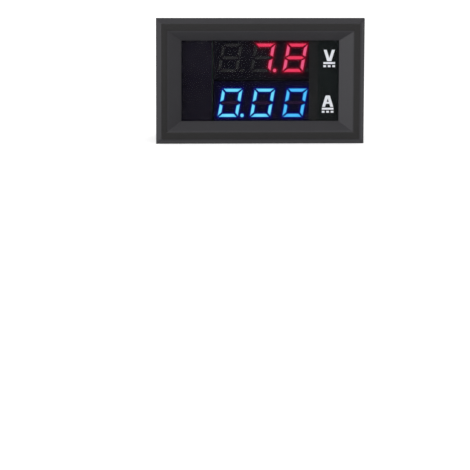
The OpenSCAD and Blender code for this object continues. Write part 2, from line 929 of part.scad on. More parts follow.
color(tin) chip_ends(capacitor_places, capacitor_t);  // capacitor_end_caps
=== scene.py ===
"""Finish of a dual-row digital panel meter, worked out around its packed CAD frame.

Everything is in metres and in the frame's own axes: X runs along the bezel, Z is up,
and +Y points from the front of the bezel into the panel.
"""

import math

import bmesh
import bpy
import numpy as np
from bpy.props import FloatProperty, FloatVectorProperty, IntProperty, PointerProperty
from mathutils import Matrix, Vector


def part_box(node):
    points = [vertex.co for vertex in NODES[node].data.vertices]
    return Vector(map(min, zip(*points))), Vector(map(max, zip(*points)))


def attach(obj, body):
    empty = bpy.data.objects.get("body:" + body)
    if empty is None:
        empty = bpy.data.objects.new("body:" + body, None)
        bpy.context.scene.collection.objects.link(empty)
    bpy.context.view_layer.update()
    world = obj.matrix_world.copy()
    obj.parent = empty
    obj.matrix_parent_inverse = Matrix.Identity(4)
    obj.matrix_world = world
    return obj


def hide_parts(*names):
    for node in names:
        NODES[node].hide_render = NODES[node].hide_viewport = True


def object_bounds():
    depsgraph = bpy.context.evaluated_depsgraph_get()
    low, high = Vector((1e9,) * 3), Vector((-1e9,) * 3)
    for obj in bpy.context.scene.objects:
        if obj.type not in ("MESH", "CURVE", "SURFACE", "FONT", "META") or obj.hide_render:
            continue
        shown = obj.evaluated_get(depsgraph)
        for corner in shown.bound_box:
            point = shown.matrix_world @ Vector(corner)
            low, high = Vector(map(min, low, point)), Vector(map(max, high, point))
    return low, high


bl_info = {
    "name": "Panel Meter Finish",
    "version": (1, 0, 0),
    "blender": (4, 5, 0),
    "location": "View3D > Sidebar > Panel Meter",
    "description": "Builds the finished housing, window, digits, circuit board and stage of a panel meter",
    "category": "Object",
}

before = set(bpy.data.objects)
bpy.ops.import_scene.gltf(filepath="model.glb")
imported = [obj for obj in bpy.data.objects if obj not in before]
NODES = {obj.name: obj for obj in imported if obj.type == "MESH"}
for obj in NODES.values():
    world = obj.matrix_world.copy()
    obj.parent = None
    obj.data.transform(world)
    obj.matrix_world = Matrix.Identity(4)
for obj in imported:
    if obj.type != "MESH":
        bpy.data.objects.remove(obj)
CAD_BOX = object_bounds()

MM = 0.001
BODY = "meter"
# Points that lie closer than this are one point
MERGE = 1e-7
# Most of a short edge that a rounding beside it may take
ROOM = 0.35
# Faces that meet at a smaller angle than this, in degrees, are one flat face
FLAT = 0.4
LENS_LO, LENS_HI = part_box("lens")
BOARD_LO, BOARD_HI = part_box("circuit_board")
BOARD_BACK = BOARD_HI.y
DISPLAY_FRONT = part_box("red_display_case")[0].y


# ---- Reading the frame ----


def node_arrays(node):
    """Merged corner points of a CAD node, and its triangles as rows of three point numbers."""
    mesh = NODES[node].data
    points = np.empty(len(mesh.vertices) * 3)
    mesh.vertices.foreach_get("co", points)
    mesh.calc_loop_triangles()
    triangles = np.empty(len(mesh.loop_triangles) * 3, dtype=np.int64)
    mesh.loop_triangles.foreach_get("vertices", triangles)
    points = points.reshape(-1, 3)
    keys = np.round(points / MERGE).astype(np.int64)
    _, first, same = np.unique(keys, axis=0, return_index=True, return_inverse=True)
    return points[first], same.ravel()[triangles].reshape(-1, 3)


def loose_parts(node):
    """Points of each separate solid of a CAD node.

    Each point takes the lowest number among the triangles it belongs to, again and again until
    nothing changes, so that all the points of one solid end with the same number.
    """
    points, triangles = node_arrays(node)
    label = np.arange(len(points))
    while True:
        lowest = label.copy()
        np.minimum.at(lowest, triangles.ravel(), np.repeat(label[triangles].min(axis=1), 3))
        if np.array_equal(lowest, label):
            return [points[label == number] for number in np.unique(label)]
        label = lowest


def part_boxes(node):
    """Lowest and highest corner of each separate solid of a CAD node, from left to right."""
    boxes = [np.array([part.min(axis=0), part.max(axis=0)]) for part in loose_parts(node)]
    return sorted(boxes, key=lambda box: (round(box[0][0], 6), round(box[0][2], 6)))


def middle_of(box):
    """Middle of a box, in x and z."""
    return np.array(box)[:, [0, 2]].mean(axis=0)


def front_outlines(node):
    """Front outline of each solid of a node, in x and z, in order of the angle about its middle."""
    outlines = []
    for part in loose_parts(node):
        front = part[part[:, 1] < part[:, 1].min() + MERGE][:, [0, 2]]
        around = front - front.mean(axis=0)
        outlines.append(front[np.argsort(np.arctan2(around[:, 1], around[:, 0]))])
    return outlines


# ---- Surfaces ----


def ring_faces(rings, points, start, closed):
    """Quads between neighbouring rings; an open row has a cap at each end, a closed one meets itself."""
    row = np.arange(rings if closed else rings - 1)[:, None]
    here, after = row * points, (row + 1) % rings * points
    step = np.arange(points)[None, :]
    turn = (step + 1) % points
    quads = np.stack([here + step, here + turn, after + turn, after + step], axis=-1)
    faces = (quads.reshape(-1, 4) + start).tolist()
    if not closed:
        last = start + (rings - 1) * points
        faces += [list(range(start + points - 1, start - 1, -1)), list(range(last, last + points))]
    return faces


def keep_values(mesh, name, values):
    """Keeps one number for each point of a mesh under a name."""
    mesh.attributes.new(name, "FLOAT", "POINT").data.foreach_set("value", values.astype(np.float32))


def solid_mesh(solids, values=None, closed=0):
    """Mesh of several solids, each an array of rings of points, with its faces turned outwards.

    The first `closed` solids run round into themselves. Named values are kept on the points.
    """
    faces = []
    start = 0
    for number, rings in enumerate(solids):
        faces += ring_faces(*rings.shape[:2], start, number < closed)
        start += rings.shape[0] * rings.shape[1]
    mesh = bpy.data.meshes.new("solids")
    mesh.from_pydata(np.concatenate([rings.reshape(-1, 3) for rings in solids]).tolist(), [], faces)
    for name, arrays in (values or {}).items():
        keep_values(mesh, name, np.concatenate([array.ravel() for array in arrays]))
    work = bmesh.new()
    work.from_mesh(mesh)
    bmesh.ops.recalc_face_normals(work, faces=work.faces)
    work.to_mesh(mesh)
    work.free()
    return mesh


def placed(outline, y):
    """Outline in x and z, set at a depth y."""
    return np.column_stack([outline[:, 0], np.full(len(outline), y), outline[:, 1]])


def rounded_rectangle(x0, x1, z0, z1, radius, steps=4):
    """Rectangle whose corners are quarter circles: corner centre + radius * (cos a, sin a)."""
    quarter = np.linspace(0, math.pi / 2, steps + 1)
    middle = np.array([(x0 + x1) / 2, (z0 + z1) / 2])
    arcs = []
    for turn, corner in enumerate(np.array([(x1, z1), (x0, z1), (x0, z0), (x1, z0)])):
        angle = quarter + turn * math.pi / 2
        centre = corner + radius * np.sign(middle - corner)
        arcs.append(centre + radius * np.column_stack([np.cos(angle), np.sin(angle)]))
    return np.concatenate(arcs)


def plate(x0, x1, z0, z1, steps, radius):
    """Rounded plate: one ring for each step (inset, y), every ring the rectangle drawn in by its inset."""
    rings = []
    for inset, y in steps:
        corner = max(radius - inset, 0.1 * radius)
        rings.append(placed(rounded_rectangle(x0 + inset, x1 - inset, z0 + inset, z1 - inset, corner), y))
    return np.stack(rings)


def ribbon(path, width, height, closed=False):
    """Flat strip with sloped sides on the back of the board, along a path in x and z.

    Points of the path that lie on the one before are left out. At each point the section lies
    along the mitre: the mean of the two neighbouring normals, lengthened by one over the cosine
    of half the bend.
    """
    path = np.asarray(path, float)
    path = path[np.append(True, np.linalg.norm(np.diff(path, axis=0), axis=1) > 0.01 * MM)]
    ahead = np.roll(path, -1, axis=0) - path
    if not closed:
        ahead[-1] = ahead[-2]
    ahead /= np.linalg.norm(ahead, axis=1)[:, None]
    behind = np.roll(ahead, 1, axis=0)
    if not closed:
        behind[0] = ahead[0]
    mitre = np.column_stack([-(ahead + behind)[:, 1], (ahead + behind)[:, 0]])
    mitre /= (mitre * np.column_stack([-ahead[:, 1], ahead[:, 0]])).sum(axis=1)[:, None]
    section = np.array([[-1, 0], [-0.8, 1], [0.8, 1], [1, 0]]) * [width / 2, height]
    across = path[:, None, :] + mitre[:, None, :] * section[None, :, :1]
    depth = np.broadcast_to(BOARD_BACK + section[:, 1], across.shape[:2])
    return np.stack([across[..., 0], depth, across[..., 1]], axis=-1)


def revolved(profile, x, z, steps=32):
    """Profile of (radius, y) turned about an axis along Y: (x + r cos a, y, z + r sin a)."""
    angle = np.arange(steps) * 2 * math.pi / steps
    radius, depth = np.asarray(profile, float).T
    return np.stack([
        x + radius[:, None] * np.cos(angle),
        np.broadcast_to(depth[:, None], (len(radius), steps)),
        z + radius[:, None] * np.sin(angle)], axis=-1)


def softened(outline, cut):
    """Corners cut twice, as Chaikin does: at `cut` from the ends of each side, then at a quarter of it."""
    side = np.roll(outline, -1, axis=0) - outline
    for share in (np.minimum(cut / np.linalg.norm(side, axis=1), 0.3)[:, None], 0.25):
        side = np.roll(outline, -1, axis=0) - outline
        outline = np.stack([outline + share * side, outline + (1 - share) * side], axis=1).reshape(-1, 2)
    return outline


def respaced(outline, count):
    """Closed outline with `count` points at equal distances along it."""
    loop = np.vstack([outline, outline[:1]])
    length = np.concatenate([[0], np.cumsum(np.linalg.norm(np.diff(loop, axis=0), axis=1))])
    spots = np.linspace(0, length[-1], count, endpoint=False)
    return np.column_stack([np.interp(spots, length, loop[:, 0]), np.interp(spots, length, loop[:, 1])])


def spine_points(outline):
    """For each point of a bar's outline, the nearest point of the line that runs down its middle.

    The second result is how far each point lies towards the bar's ends, from 0 in the middle to 1.
    """
    middle = outline.mean(axis=0)
    around = outline - middle
    _, _, axes = np.linalg.svd(around, full_matrices=False)
    along, across = around @ axes[0], around @ axes[1]
    reach = max(np.ptp(along) - np.ptp(across), 0) / 2
    return middle + np.clip(along, -reach, reach)[:, None] * axes[0], np.abs(along) / np.abs(along).max()


def domed_bar(outline, back, front, dome, cut, count=64, rings=9):
    """Bar with a crowned front, the distance of its points from the outline, and how far they lie outwards.

    Ring t goes from the outline to the spine: p + t (q - p), at the height dome * (1 - (1 - t)^2).
    The last ring stops short of the spine, so that its points stay apart.
    """
    is_round = len(outline) >= 8
    outline = respaced(outline if is_round else softened(outline, cut), count)
    spine, outwards = spine_points(outline)
    inward = spine - outline
    share = np.linspace(0, 0.94, rings)
    top = [placed(outline + t * inward, front - dome * (1 - (1 - t) ** 2)) for t in share]
    distance = np.vstack([np.zeros((1, count)), share[:, None] * np.linalg.norm(inward, axis=1)])
    return np.stack([placed(outline, back)] + top), distance, np.tile(outwards, (rings + 1, 1))


def outline_distance(points, outlines):
    """Distance of points in x and z from the nearest of several convex outlines, 0 inside one."""
    best = np.full(len(points), np.inf)
    for outline in outlines:
        side = np.roll(outline, -1, axis=0) - outline
        offset = points[:, None, :] - outline[None]
        along = np.clip((offset * side).sum(axis=-1) / (side ** 2).sum(axis=-1), 0, 1)
        gap = np.linalg.norm(offset - along[..., None] * side, axis=-1).min(axis=1)
        turn = offset[..., 1] * side[:, 0] - offset[..., 0] * side[:, 1]
        gap[(turn >= 0).all(axis=1) | (turn <= 0).all(axis=1)] = 0
        best = np.minimum(best, gap)
    return best


# ---- Pieces ----


def show_piece(name, mesh, material, slot, body=BODY, stands_for=None, sharp=35):
    """Object for a mesh, riding on a body; sharp edges are those over `sharp` degrees, or else its own."""
    mesh.name = name
    mesh.materials.clear()
    mesh.materials.append(material)
    mesh.shade_smooth()
    if sharp:
        mesh.set_sharp_from_angle(angle=math.radians(sharp))
    piece = bpy.data.objects.new(name, mesh)
    bpy.context.scene.collection.objects.link(piece)
    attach(piece, body)
    if stands_for:
        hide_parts(stands_for)
    return piece


def edge_rounding(edge, width, angle, share):
    """Rounding of an edge as a part of the width: none if flat, at most ROOM of the shortest it meets."""
    if edge.calc_face_angle(0) < math.radians(angle):
        return 0.0
    shortest = min(near.calc_length() for end in edge.verts for near in end.link_edges)
    return min(share(edge), ROOM * shortest / width)


def eased_copy(node, ending, width, material, slot, body=BODY, segments=2, angle=28, share=lambda edge: 1.0):
    """Copy of a CAD node with merged points, flat faces joined and edges rounded, which stands for it."""
    work = bmesh.new()
    work.from_mesh(NODES[node].data)
    bmesh.ops.remove_doubles(work, verts=work.verts, dist=MERGE)
    bmesh.ops.dissolve_limit(work, angle_limit=math.radians(FLAT), verts=work.verts, edges=work.edges)
    rounding = work.edges.layers.float.new("bevel_weight_edge")
    for edge in work.edges:
        edge[rounding] = edge_rounding(edge, width, angle, share)
        edge.smooth = edge[rounding] > 0 or edge.calc_face_angle(0) < math.radians(angle)
    mesh = bpy.data.meshes.new("eased")
    work.to_mesh(mesh)
    work.free()
    piece = show_piece(f"{node}_{ending}", mesh, material, slot, body, node, sharp=None)
    bevel = piece.modifiers.new("Eased edges", "BEVEL")
    bevel.width = width
    bevel.segments = segments
    bevel.limit_method = "WEIGHT"
    bevel.use_clamp_overlap = False
    bevel.loop_slide = False
    piece.modifiers.new("Level faces", "WEIGHTED_NORMAL").keep_sharp = True


def tinned_copies(nodes, width, tin):
    """Eased copies of pins, leads, terminals or end caps."""
    for node in nodes:
        eased_copy(node, "tinned", width, tin, "tinned_pins")


def finish_node(node, material):
    """Gives a CAD node whose shape is right its material."""
    mesh = NODES[node].data
    mesh.materials.clear()
    mesh.materials.append(material)


# ---- Shader nodes ----


def set_inputs(made, values):
    """Sets the inputs of a node; each value is a number or colour, or a socket to link."""
    for key, value in values.items():
        if isinstance(value, bpy.types.NodeSocket):
            made.id_data.links.new(value, made.inputs[key])
        else:
            made.inputs[key].default_value = value


def add_node(tree, kind, values=None, **settings):
    """One node with its settings and inputs."""
    made = tree.nodes.new(kind)
    for key, value in settings.items():
        setattr(made, key, value)
    set_inputs(made, values or {})
    return made


# Sockets of a Mix node for colours, which share their names with others and so go by number
MIX_FACTOR, MIX_FIRST, MIX_SECOND, MIX_RESULT = 0, 6, 7, 2


def mixed(tree, factor, first, second):
    """Colour output of a Mix node between two colours."""
    inputs = {MIX_FACTOR: factor, MIX_FIRST: first, MIX_SECOND: second}
    return add_node(tree, "ShaderNodeMix", inputs, data_type="RGBA").outputs[MIX_RESULT]


def ranged(tree, value, low, high, to_low, to_high, smooth=False):
    """Value carried from one range to another, held at its ends."""
    made = add_node(
        tree, "ShaderNodeMapRange",
        {"Value": value, "From Min": low, "From Max": high, "To Min": to_low, "To Max": to_high},
        interpolation_type="SMOOTHSTEP" if smooth else "LINEAR")
    return made.outputs["Result"]


def calculated(tree, operation, first, second):
    """Output of a Math node."""
    return add_node(tree, "ShaderNodeMath", {0: first, 1: second}, operation=operation).outputs["Value"]


def scaled_colour(tree, colour, factor):
    """Colour made lighter or darker by a factor."""
    made = add_node(tree, "ShaderNodeVectorMath", {0: colour, "Scale": factor}, operation="SCALE")
    return made.outputs["Vector"]


def noise(tree, place, scale, detail, **values):
    """Output of a Noise Texture."""
    inputs = {"Vector": place, "Scale": scale, "Detail": detail, **values}
    return add_node(tree, "ShaderNodeTexNoise", inputs).outputs["Fac"]


def raised(tree, height, distance, strength=1.0):
    """Normal of a surface that is raised by a height."""
    inputs = {"Height": height, "Strength": strength, "Distance": distance}
    return add_node(tree, "ShaderNodeBump", inputs).outputs["Normal"]


def kept_value(tree, name):
    """Number that the points of a piece keep under a name."""
    return add_node(tree, "ShaderNodeAttribute", attribute_name=name).outputs["Fac"]


def new_group(name, inputs, outputs):
    """Empty shader node group; its inputs are given as name: (kind, default), its outputs as name: kind."""
    group = bpy.data.node_groups.new(name, "ShaderNodeTree")
    for label, (kind, default) in inputs.items():
        socket = group.interface.new_socket(name=label, in_out="INPUT", socket_type=f"NodeSocket{kind}")
        if default is not None:
            socket.default_value = default
    for label, kind in outputs.items():
        group.interface.new_socket(name=label, in_out="OUTPUT", socket_type=f"NodeSocket{kind}")
    return group, add_node(group, "NodeGroupInput").outputs, add_node(group, "NodeGroupOutput")


def grain_group(name):
    """Fine grain over slow drifts of tone: colour, roughness and height of a moulded or cast surface."""
    group, source, sink = new_group(name, {
        "Position": ("Vector", None), "Colour": ("Color", (0.5, 0.5, 0.5, 1)),
        "Tone Drift": ("Float", 0.1), "Drifts per Metre": ("Float", 300.0),
        "Roughness": ("Float", 0.5), "Roughness Drift": ("Float", 0.08),
        "Grains per Metre": ("Float", 12000.0),
    }, {"Colour": "Color", "Roughness": "Float", "Height": "Float"})
    drift = noise(group, source["Position"], source["Drifts per Metre"], 3.0)
    spread = ranged(group, drift, 0.25, 0.75, -1.0, 1.0)
    tone = calculated(group, "ADD", 1.0, calculated(group, "MULTIPLY", spread, source["Tone Drift"]))
    change = calculated(group, "MULTIPLY", spread, source["Roughness Drift"])
    set_inputs(sink, {
        "Colour": scaled_colour(group, source["Colour"], tone),
        "Roughness": calculated(group, "ADD", source["Roughness"], change),
        "Height": noise(group, source["Position"], source["Grains per Metre"], 2.0, Roughness=0.6)})
    return group


def resin_group(name):
    """Colour of resin in a dark well: dim along its outline, then its edge colour, inside its core colour.

    `Level` is the most of its core colour that it shows.
    """
    group, source, sink = new_group(name, {
        "Edge Distance": ("Float", 0.0), "Level": ("Float", 1.0),
        "Core": ("Color", (1, 1, 1, 1)), "Edge": ("Color", (1, 1, 1, 1)),
        "Edge Width": ("Float", 0.0002), "Rim Width": ("Float", 0.0001), "Rim": ("Float", 0.08),
    }, {"Colour": "Color"})
    share = calculated(group, "DIVIDE", source["Edge Distance"], source["Edge Width"])
    rise = ranged(group, share, 0.0, 1.0, 0.0, 1.0, smooth=True)
    inner = calculated(group, "MULTIPLY", rise, source["Level"])
    colour = mixed(group, inner, source["Edge"], source["Core"])
    within = calculated(group, "DIVIDE", source["Edge Distance"], source["Rim Width"])
    light = ranged(group, within, 0.0, 1.0, source["Rim"], 1.0, smooth=True)
    set_inputs(sink, {"Colour": scaled_colour(group, colour, light)})
    return group


def shared_group(tree, name, make, values):
    """Node that stands for a group which several materials share, made the first time it is asked for."""
    group = bpy.data.node_groups.get(name) or make(name)
    return add_node(tree, "ShaderNodeGroup", values, node_tree=group)


def new_material(name, **values):
    """Material with one Principled BSDF; values are set on its own sockets."""
    material = bpy.data.materials.new(name)
    material.use_nodes = True
    shader = material.node_tree.nodes["Principled BSDF"]
    set_inputs(shader, {key.replace("_", " "): value for key, value in values.items()})
    return material, material.node_tree, shader


def position_in(tree, centre=(0, 0, 0)):
    """Object coordinates, counted from a centre."""
    place = add_node(tree, "ShaderNodeTexCoord").outputs["Object"]
    away = [-distance for distance in centre]
    return add_node(tree, "ShaderNodeMapping", {"Vector": place, "Location": away}).outputs["Vector"]


def rgba(colour):
    """Colour with full opacity."""
    return (*colour, 1.0)


def grained_nodes(name, colour, roughness, bump, grains=12000.0, drift=0.1, drifts=300.0, rough_drift=0.08,
                  **values):
    """Material whose colour, roughness and bump come from the grain, and its tree, shader and grain node."""
    material, tree, shader = new_material(name, **values)
    grain = shared_group(tree, "Surface Grain", grain_group, {
        "Position": position_in(tree), "Colour": rgba(colour), "Tone Drift": drift,
        "Drifts per Metre": drifts, "Roughness": roughness, "Roughness Drift": rough_drift,
        "Grains per Metre": grains})
    set_inputs(shader, {
        "Base Color": grain.outputs["Colour"], "Roughness": grain.outputs["Roughness"],
        "Normal": raised(tree, grain.outputs["Height"], bump)})
    return material, tree, shader, grain


def grained(*finish, **values):
    """Material alone of a surface with grain."""
    return grained_nodes(*finish, **values)[0]


def metallic(name, colour, roughness, bump):
    """Plated or cast metal with a slow change of tone."""
    return grained(name, colour, roughness, bump, grains=7000.0, drift=0.12, drifts=900.0, rough_drift=0.12,
                   Metallic=1.0)


# ---- Settings ----


def colour_property(label, text, default):
    """Colour setting."""
    return FloatVectorProperty(name=label, description=text, default=default, subtype="COLOR", min=0, max=1)


def length_property(label, text, default):
    """Length setting, in metres."""
    return FloatProperty(name=label, description=text, default=default, min=0, unit="LENGTH", precision=6)


def share_property(label, text, default):
    """Setting from 0 to 1."""
    return FloatProperty(name=label, description=text, default=default, min=0, max=1, subtype="FACTOR")


def power_property(label, text, default):
    """Power setting, in watts."""
    return FloatProperty(name=label, description=text, default=default, min=0, unit="POWER")


def place_property(label, text, default):
    """Setting for a point in space."""
    return FloatVectorProperty(name=label, description=text, default=default, subtype="TRANSLATION",
                               unit="LENGTH")


class HousingSettings(bpy.types.PropertyGroup):
    """Moulded housing."""

    plastic: colour_property("Plastic", "Colour of the moulded plastic", (0.0148, 0.0142, 0.0144))
    # Painted light: the slopes get a lighter colour than the flats, standing in for the light and sheen that
    # fall on them
    painted_slope_light: colour_property("Painted slope light", "Colour of the satin slopes", (0.0366, 0.0358, 0.0398))
    roughness: share_property("Roughness", "Roughness of the moulded plastic", 0.42)
    reflectance: share_property("Reflectance", "Specular level of the moulded plastic", 0.15)
    edge: length_property("Edge", "Rounding of the bezel's front edges", 0.36 * MM)
    relief: length_property("Relief", "Height of the moulded grain", 0.004 * MM)


class WindowSettings(bpy.types.PropertyGroup):
    """Smoked window, what is printed on it and the painted shade behind it."""

    tint: colour_property("Tint", "Colour of the smoked window", (0.004, 0.004, 0.0075))
    opacity: share_property("Opacity", "Share of light that each face of the window holds back", 0.2)
    reflectance: share_property("Reflectance", "Specular level of the window", 0.05)
    edge: length_property("Edge", "Rounding of the window's edges", 0.12 * MM)
    mask: colour_property("Mask", "Colour of the mask printed behind the window", (0.015, 0.02, 0.018))
    mask_start: length_property("Mask start", "Distance of the mask from the middle", 13.4 * MM)
    # Painted shade: a grey film where the dim inside of the housing shows through the window
    strip: colour_property("Strip", "Colour of the strip beside the digits", (0.027, 0.028, 0.0265))
    strip_start: length_property("Strip start", "Distance of the strip from the middle", 11.35 * MM)
    # Painted shade: a dark film over the inside of the housing seen through the window, with a painted blue
    # cast of the digits' light
    shade: colour_property("Shade", "Colour of the mask before the empty end", (0.0115, 0.0092, 0.0185))
    shade_start: length_property("Shade start", "Distance of that mask from the middle", 11.1 * MM)
    ink: colour_property("Ink", "Colour of the printed unit marks", (0.7, 0.72, 0.76))
    ink_height: length_property("Ink height", "Thickness of the printed marks", 0.02 * MM)
    volt_x: length_property("Volt place", "Distance of the volt mark from the middle", 15.94 * MM)
    amp_x: length_property("Ampere place", "Distance of the ampere mark from the middle", 15.67 * MM)
    letter_w: length_property("Letter width", "Width of a unit letter", 2.6 * MM)
    letter_h: length_property("Letter height", "Height of a unit letter", 2.62 * MM)
    letter_stroke: length_property("Letter stroke", "Width of a letter's strokes", 0.7 * MM)
    bar_w: length_property("Bar width", "Width of the direct-current bars", 2.7 * MM)
    bar_h: length_property("Bar height", "Height of the direct-current bars", 0.45 * MM)
    bar_gap: length_property("Bar gap", "Gap under the letter and between the bars", 0.27 * MM)


class DisplaySettings(bpy.types.PropertyGroup):
    """Lit and unlit segments."""

    red_core: colour_property("Red core", "Middle of a lit red segment", (0.78, 0.095, 0.23))
    red_edge: colour_property("Red edge", "Edge of a lit red segment", (0.84, 0.008, 0.055))
    red_halo: colour_property("Red halo", "Light round the red segments", (0.32, 0.0, 0.02))
    red_level: share_property("Level red", "How much of its core colour a level red segment shows", 0.3)
    blue_core: colour_property("Blue core", "Middle of a lit blue segment", (0.17, 0.77, 1.0))
    blue_edge: colour_property("Blue edge", "Edge of a lit blue segment", (0.0, 0.35, 0.97))
    blue_halo: colour_property("Blue halo", "Light round the blue segments", (0.0, 0.0, 0.3))
    blue_level: share_property("Level blue", "How much of its core colour a level blue segment shows", 0.93)
    red_last: share_property("Last red digit", "How much of its core colour the last red digit keeps", 1.0)
    blue_last: share_property("Last blue digit", "How much of its core colour the last blue digit keeps",
                              0.44)
    brightness: FloatProperty(name="Brightness", description="Strength of the lit segments", default=1.58,
                              min=0)
    red_unlit: colour_property("Unlit red", "Resin of a red segment that is off", (0.03, 0.03, 0.031))
    blue_unlit: colour_property("Unlit blue", "Resin of a blue segment that is off", (0.027, 0.005, 0.048))
    unlit_point: share_property("Unlit point", "How light an unlit decimal point is beside a segment", 0.35)
    point: length_property("Point size", "Largest size of a decimal point", 1.5 * MM)
    case: colour_property("Case", "Paint of the display blocks' sides", (0.006, 0.005, 0.009))
    laminate: colour_property("Laminate", "Colour of the displays' own small boards", (0.05, 0.16, 0.05))
    red_face: colour_property("Red face", "Painted face round the red segments", (0.0065, 0.0058, 0.0105))
    blue_face: colour_property("Blue face", "Painted face round the blue segments", (0.003, 0.002, 0.0065))
    cut: length_property("Corner cut", "How far the corners of a segment are rounded off", 0.08 * MM)
    rim: length_property("Rim", "Width of the dim rim along a segment's outline", 0.15 * MM)
    end_fade: share_property("End fade", "How much of its core colour a segment loses towards its ends", 0.4)
    near_share: share_property("Near share", "Share of the halo that stays near the segments", 0.92)
    near_reach: length_property("Near reach", "Distance over which that share fades", 0.18 * MM)
    dome: length_property("Dome", "Height of the crown on a segment", 0.035 * MM)
    red_reach: length_property("Red reach", "Distance over which the red halo fades", 0.7 * MM)
    blue_reach: length_property("Blue reach", "Distance over which the blue halo fades", 1.4 * MM)
    face_step: length_property("Face step", "Distance between the points of the painted face", 0.12 * MM)


class BoardSettings(bpy.types.PropertyGroup):
    """Circuit board, copper, solder and printed lines."""

    mask: colour_property("Mask", "Solder mask over bare laminate", (0.006, 0.085, 0.03))
    track: colour_property("Track", "Solder mask over copper", (0.018, 0.19, 0.07))
    ink: colour_property("Ink", "Colour of the printed lines", (0.78, 0.78, 0.74))
    solder: colour_property("Solder", "Colour of the solder", (0.6, 0.61, 0.63))
    track_w: length_property("Track width", "Width of a signal track", 0.22 * MM)
    track_h: length_property("Track height", "Height of a track over the laminate", 0.03 * MM)
    power_w: length_property("Power track width", "Width of a power track", 0.9 * MM)
    ink_w: length_property("Ink width", "Width of a printed line", 0.14 * MM)
    via_d: length_property("Via diameter", "Diameter of a via", 0.6 * MM)
    pad_edge: length_property("Pad edge", "Pad left free round a terminal", 0.12 * MM)
    toe: length_property("Toe", "Solder in front of a terminal", 0.3 * MM)
    seed: IntProperty(name="Seed", description="Seed of the small differences between joints", default=11)


class PartSettings(bpy.types.PropertyGroup):
    """Sockets, trimmers and packages."""

    nylon: colour_property("Nylon", "Colour of the sockets", (0.8, 0.78, 0.71))
    ceramic: colour_property("Ceramic", "Colour of the trimmer bases", (0.72, 0.7, 0.64))
    compound: colour_property("Moulding compound", "Colour of the chip packages", (0.018, 0.018, 0.02))
    tantalum: colour_property("Tantalum", "Colour of the bulk capacitor", (0.72, 0.36, 0.045))
    chip_tan: colour_property("Chip capacitor", "Colour of the chip capacitors", (0.36, 0.22, 0.12))
    alumina: colour_property("Alumina", "Colour of the chip resistors' sides", (0.75, 0.74, 0.7))
    tin: colour_property("Tin", "Colour of tinned metal", (0.7, 0.69, 0.66))
    edge: length_property("Edge", "Rounding of moulded edges", 0.1 * MM)
    fine_edge: length_property("Fine edge", "Rounding of leads and chips", 0.035 * MM)


class StageSettings(bpy.types.PropertyGroup):
    """Floor, light and camera."""

    floor: colour_property("Floor", "Colour of the floor", (0.82, 0.82, 0.82))
    floor_lift: share_property("Floor lift", "Light that the floor adds for the camera", 0.6)
    ambient: share_property("Ambient", "Strength of the light from all round", 0.42)
    left: power_property("Left", "Power of the low light on the left", 5.0)
    right: power_property("Right", "Power of the right light", 0.95)
    front: power_property("Front", "Power of the low light in front", 1.65)
    top: power_property("Top", "Power of the light above the front", 1.0)
    rear: power_property("Rear", "Power of the light behind the meter", 2.0)
    place: place_property("Camera place", "Place of the camera", (-0.0303, -0.59, 0.061))
    aim: place_property("Camera aim", "Point that the camera looks at", (-0.00578, -0.0026, -0.03566))
    roll: FloatProperty(name="Camera roll", description="Turn of the camera about its own axis",
                        default=math.radians(0.17), subtype="ANGLE")
    focal: FloatProperty(name="Focal length", description="Focal length of the camera, in millimetres",
                         default=196.8, min=1)


# ---- Housing ----


def painted_light_mask(tree):
    """1 on the slopes of the bezel, which face partly forwards, and 0 on its flats and on the walls; it
    places the painted light of the slopes.
    """
    normal = add_node(tree, "ShaderNodeTexCoord").outputs["Normal"]
    depth = add_node(tree, "ShaderNodeSeparateXYZ", {"Vector": normal}).outputs["Y"]
    ahead = calculated(tree, "MULTIPLY", depth, -1.0)
    rise = ranged(tree, ahead, 0.2, 0.45, 0.0, 1.0, smooth=True)
    return calculated(tree, "MULTIPLY", rise, ranged(tree, ahead, 0.92, 0.992, 1.0, 0.0, smooth=True))


def bezel_share(edge):
    """The edges of the bezel's flats and chamfer are rounded in full, the narrow ledges inside not at all."""
    ends = [end.co for end in edge.verts]
    low, high = CAD_BOX
    front = [end.y < low.y + MERGE for end in ends]
    corner = all(abs(end.x) > 0.95 * high.x and abs(end.z) > 0.9 * high.z for end in ends)
    inside = all(abs(end.x) < 0.9 * high.x and abs(end.z) < 0.83 * high.z and end.y > LENS_LO.y - MERGE
                 for end in ends)
    if all(front) or (any(front) and corner):
        return 1.0
    return 0.0 if inside else 0.4


class METER_OT_housing(bpy.types.Operator):
    """Round the edges of the moulded housing and give it its plastic, with painted light on the bezel's
    slopes.
    """

    bl_idname = "meter.housing"
    bl_label = "Housing"

    def execute(self, context):
        settings = context.scene.meter_housing
        plastic, tree, _, grain = grained_nodes(
            "Moulded black plastic", settings.plastic, settings.roughness, settings.relief, grains=9000.0,
            drift=0.03, drifts=260.0, rough_drift=0.015, Specular_IOR_Level=settings.reflectance)
        # Painted light: a lighter colour on the slopes stands in for the light and sheen they catch
        tone = mixed(tree, painted_light_mask(tree), rgba(settings.plastic), rgba(settings.painted_slope_light))
        set_inputs(grain, {"Colour": tone})
        eased_copy("housing", "shell", settings.edge, plastic, "black_abs", segments=4, angle=20,
                   share=bezel_share)
        return {"FINISHED"}


# ---- Window ----


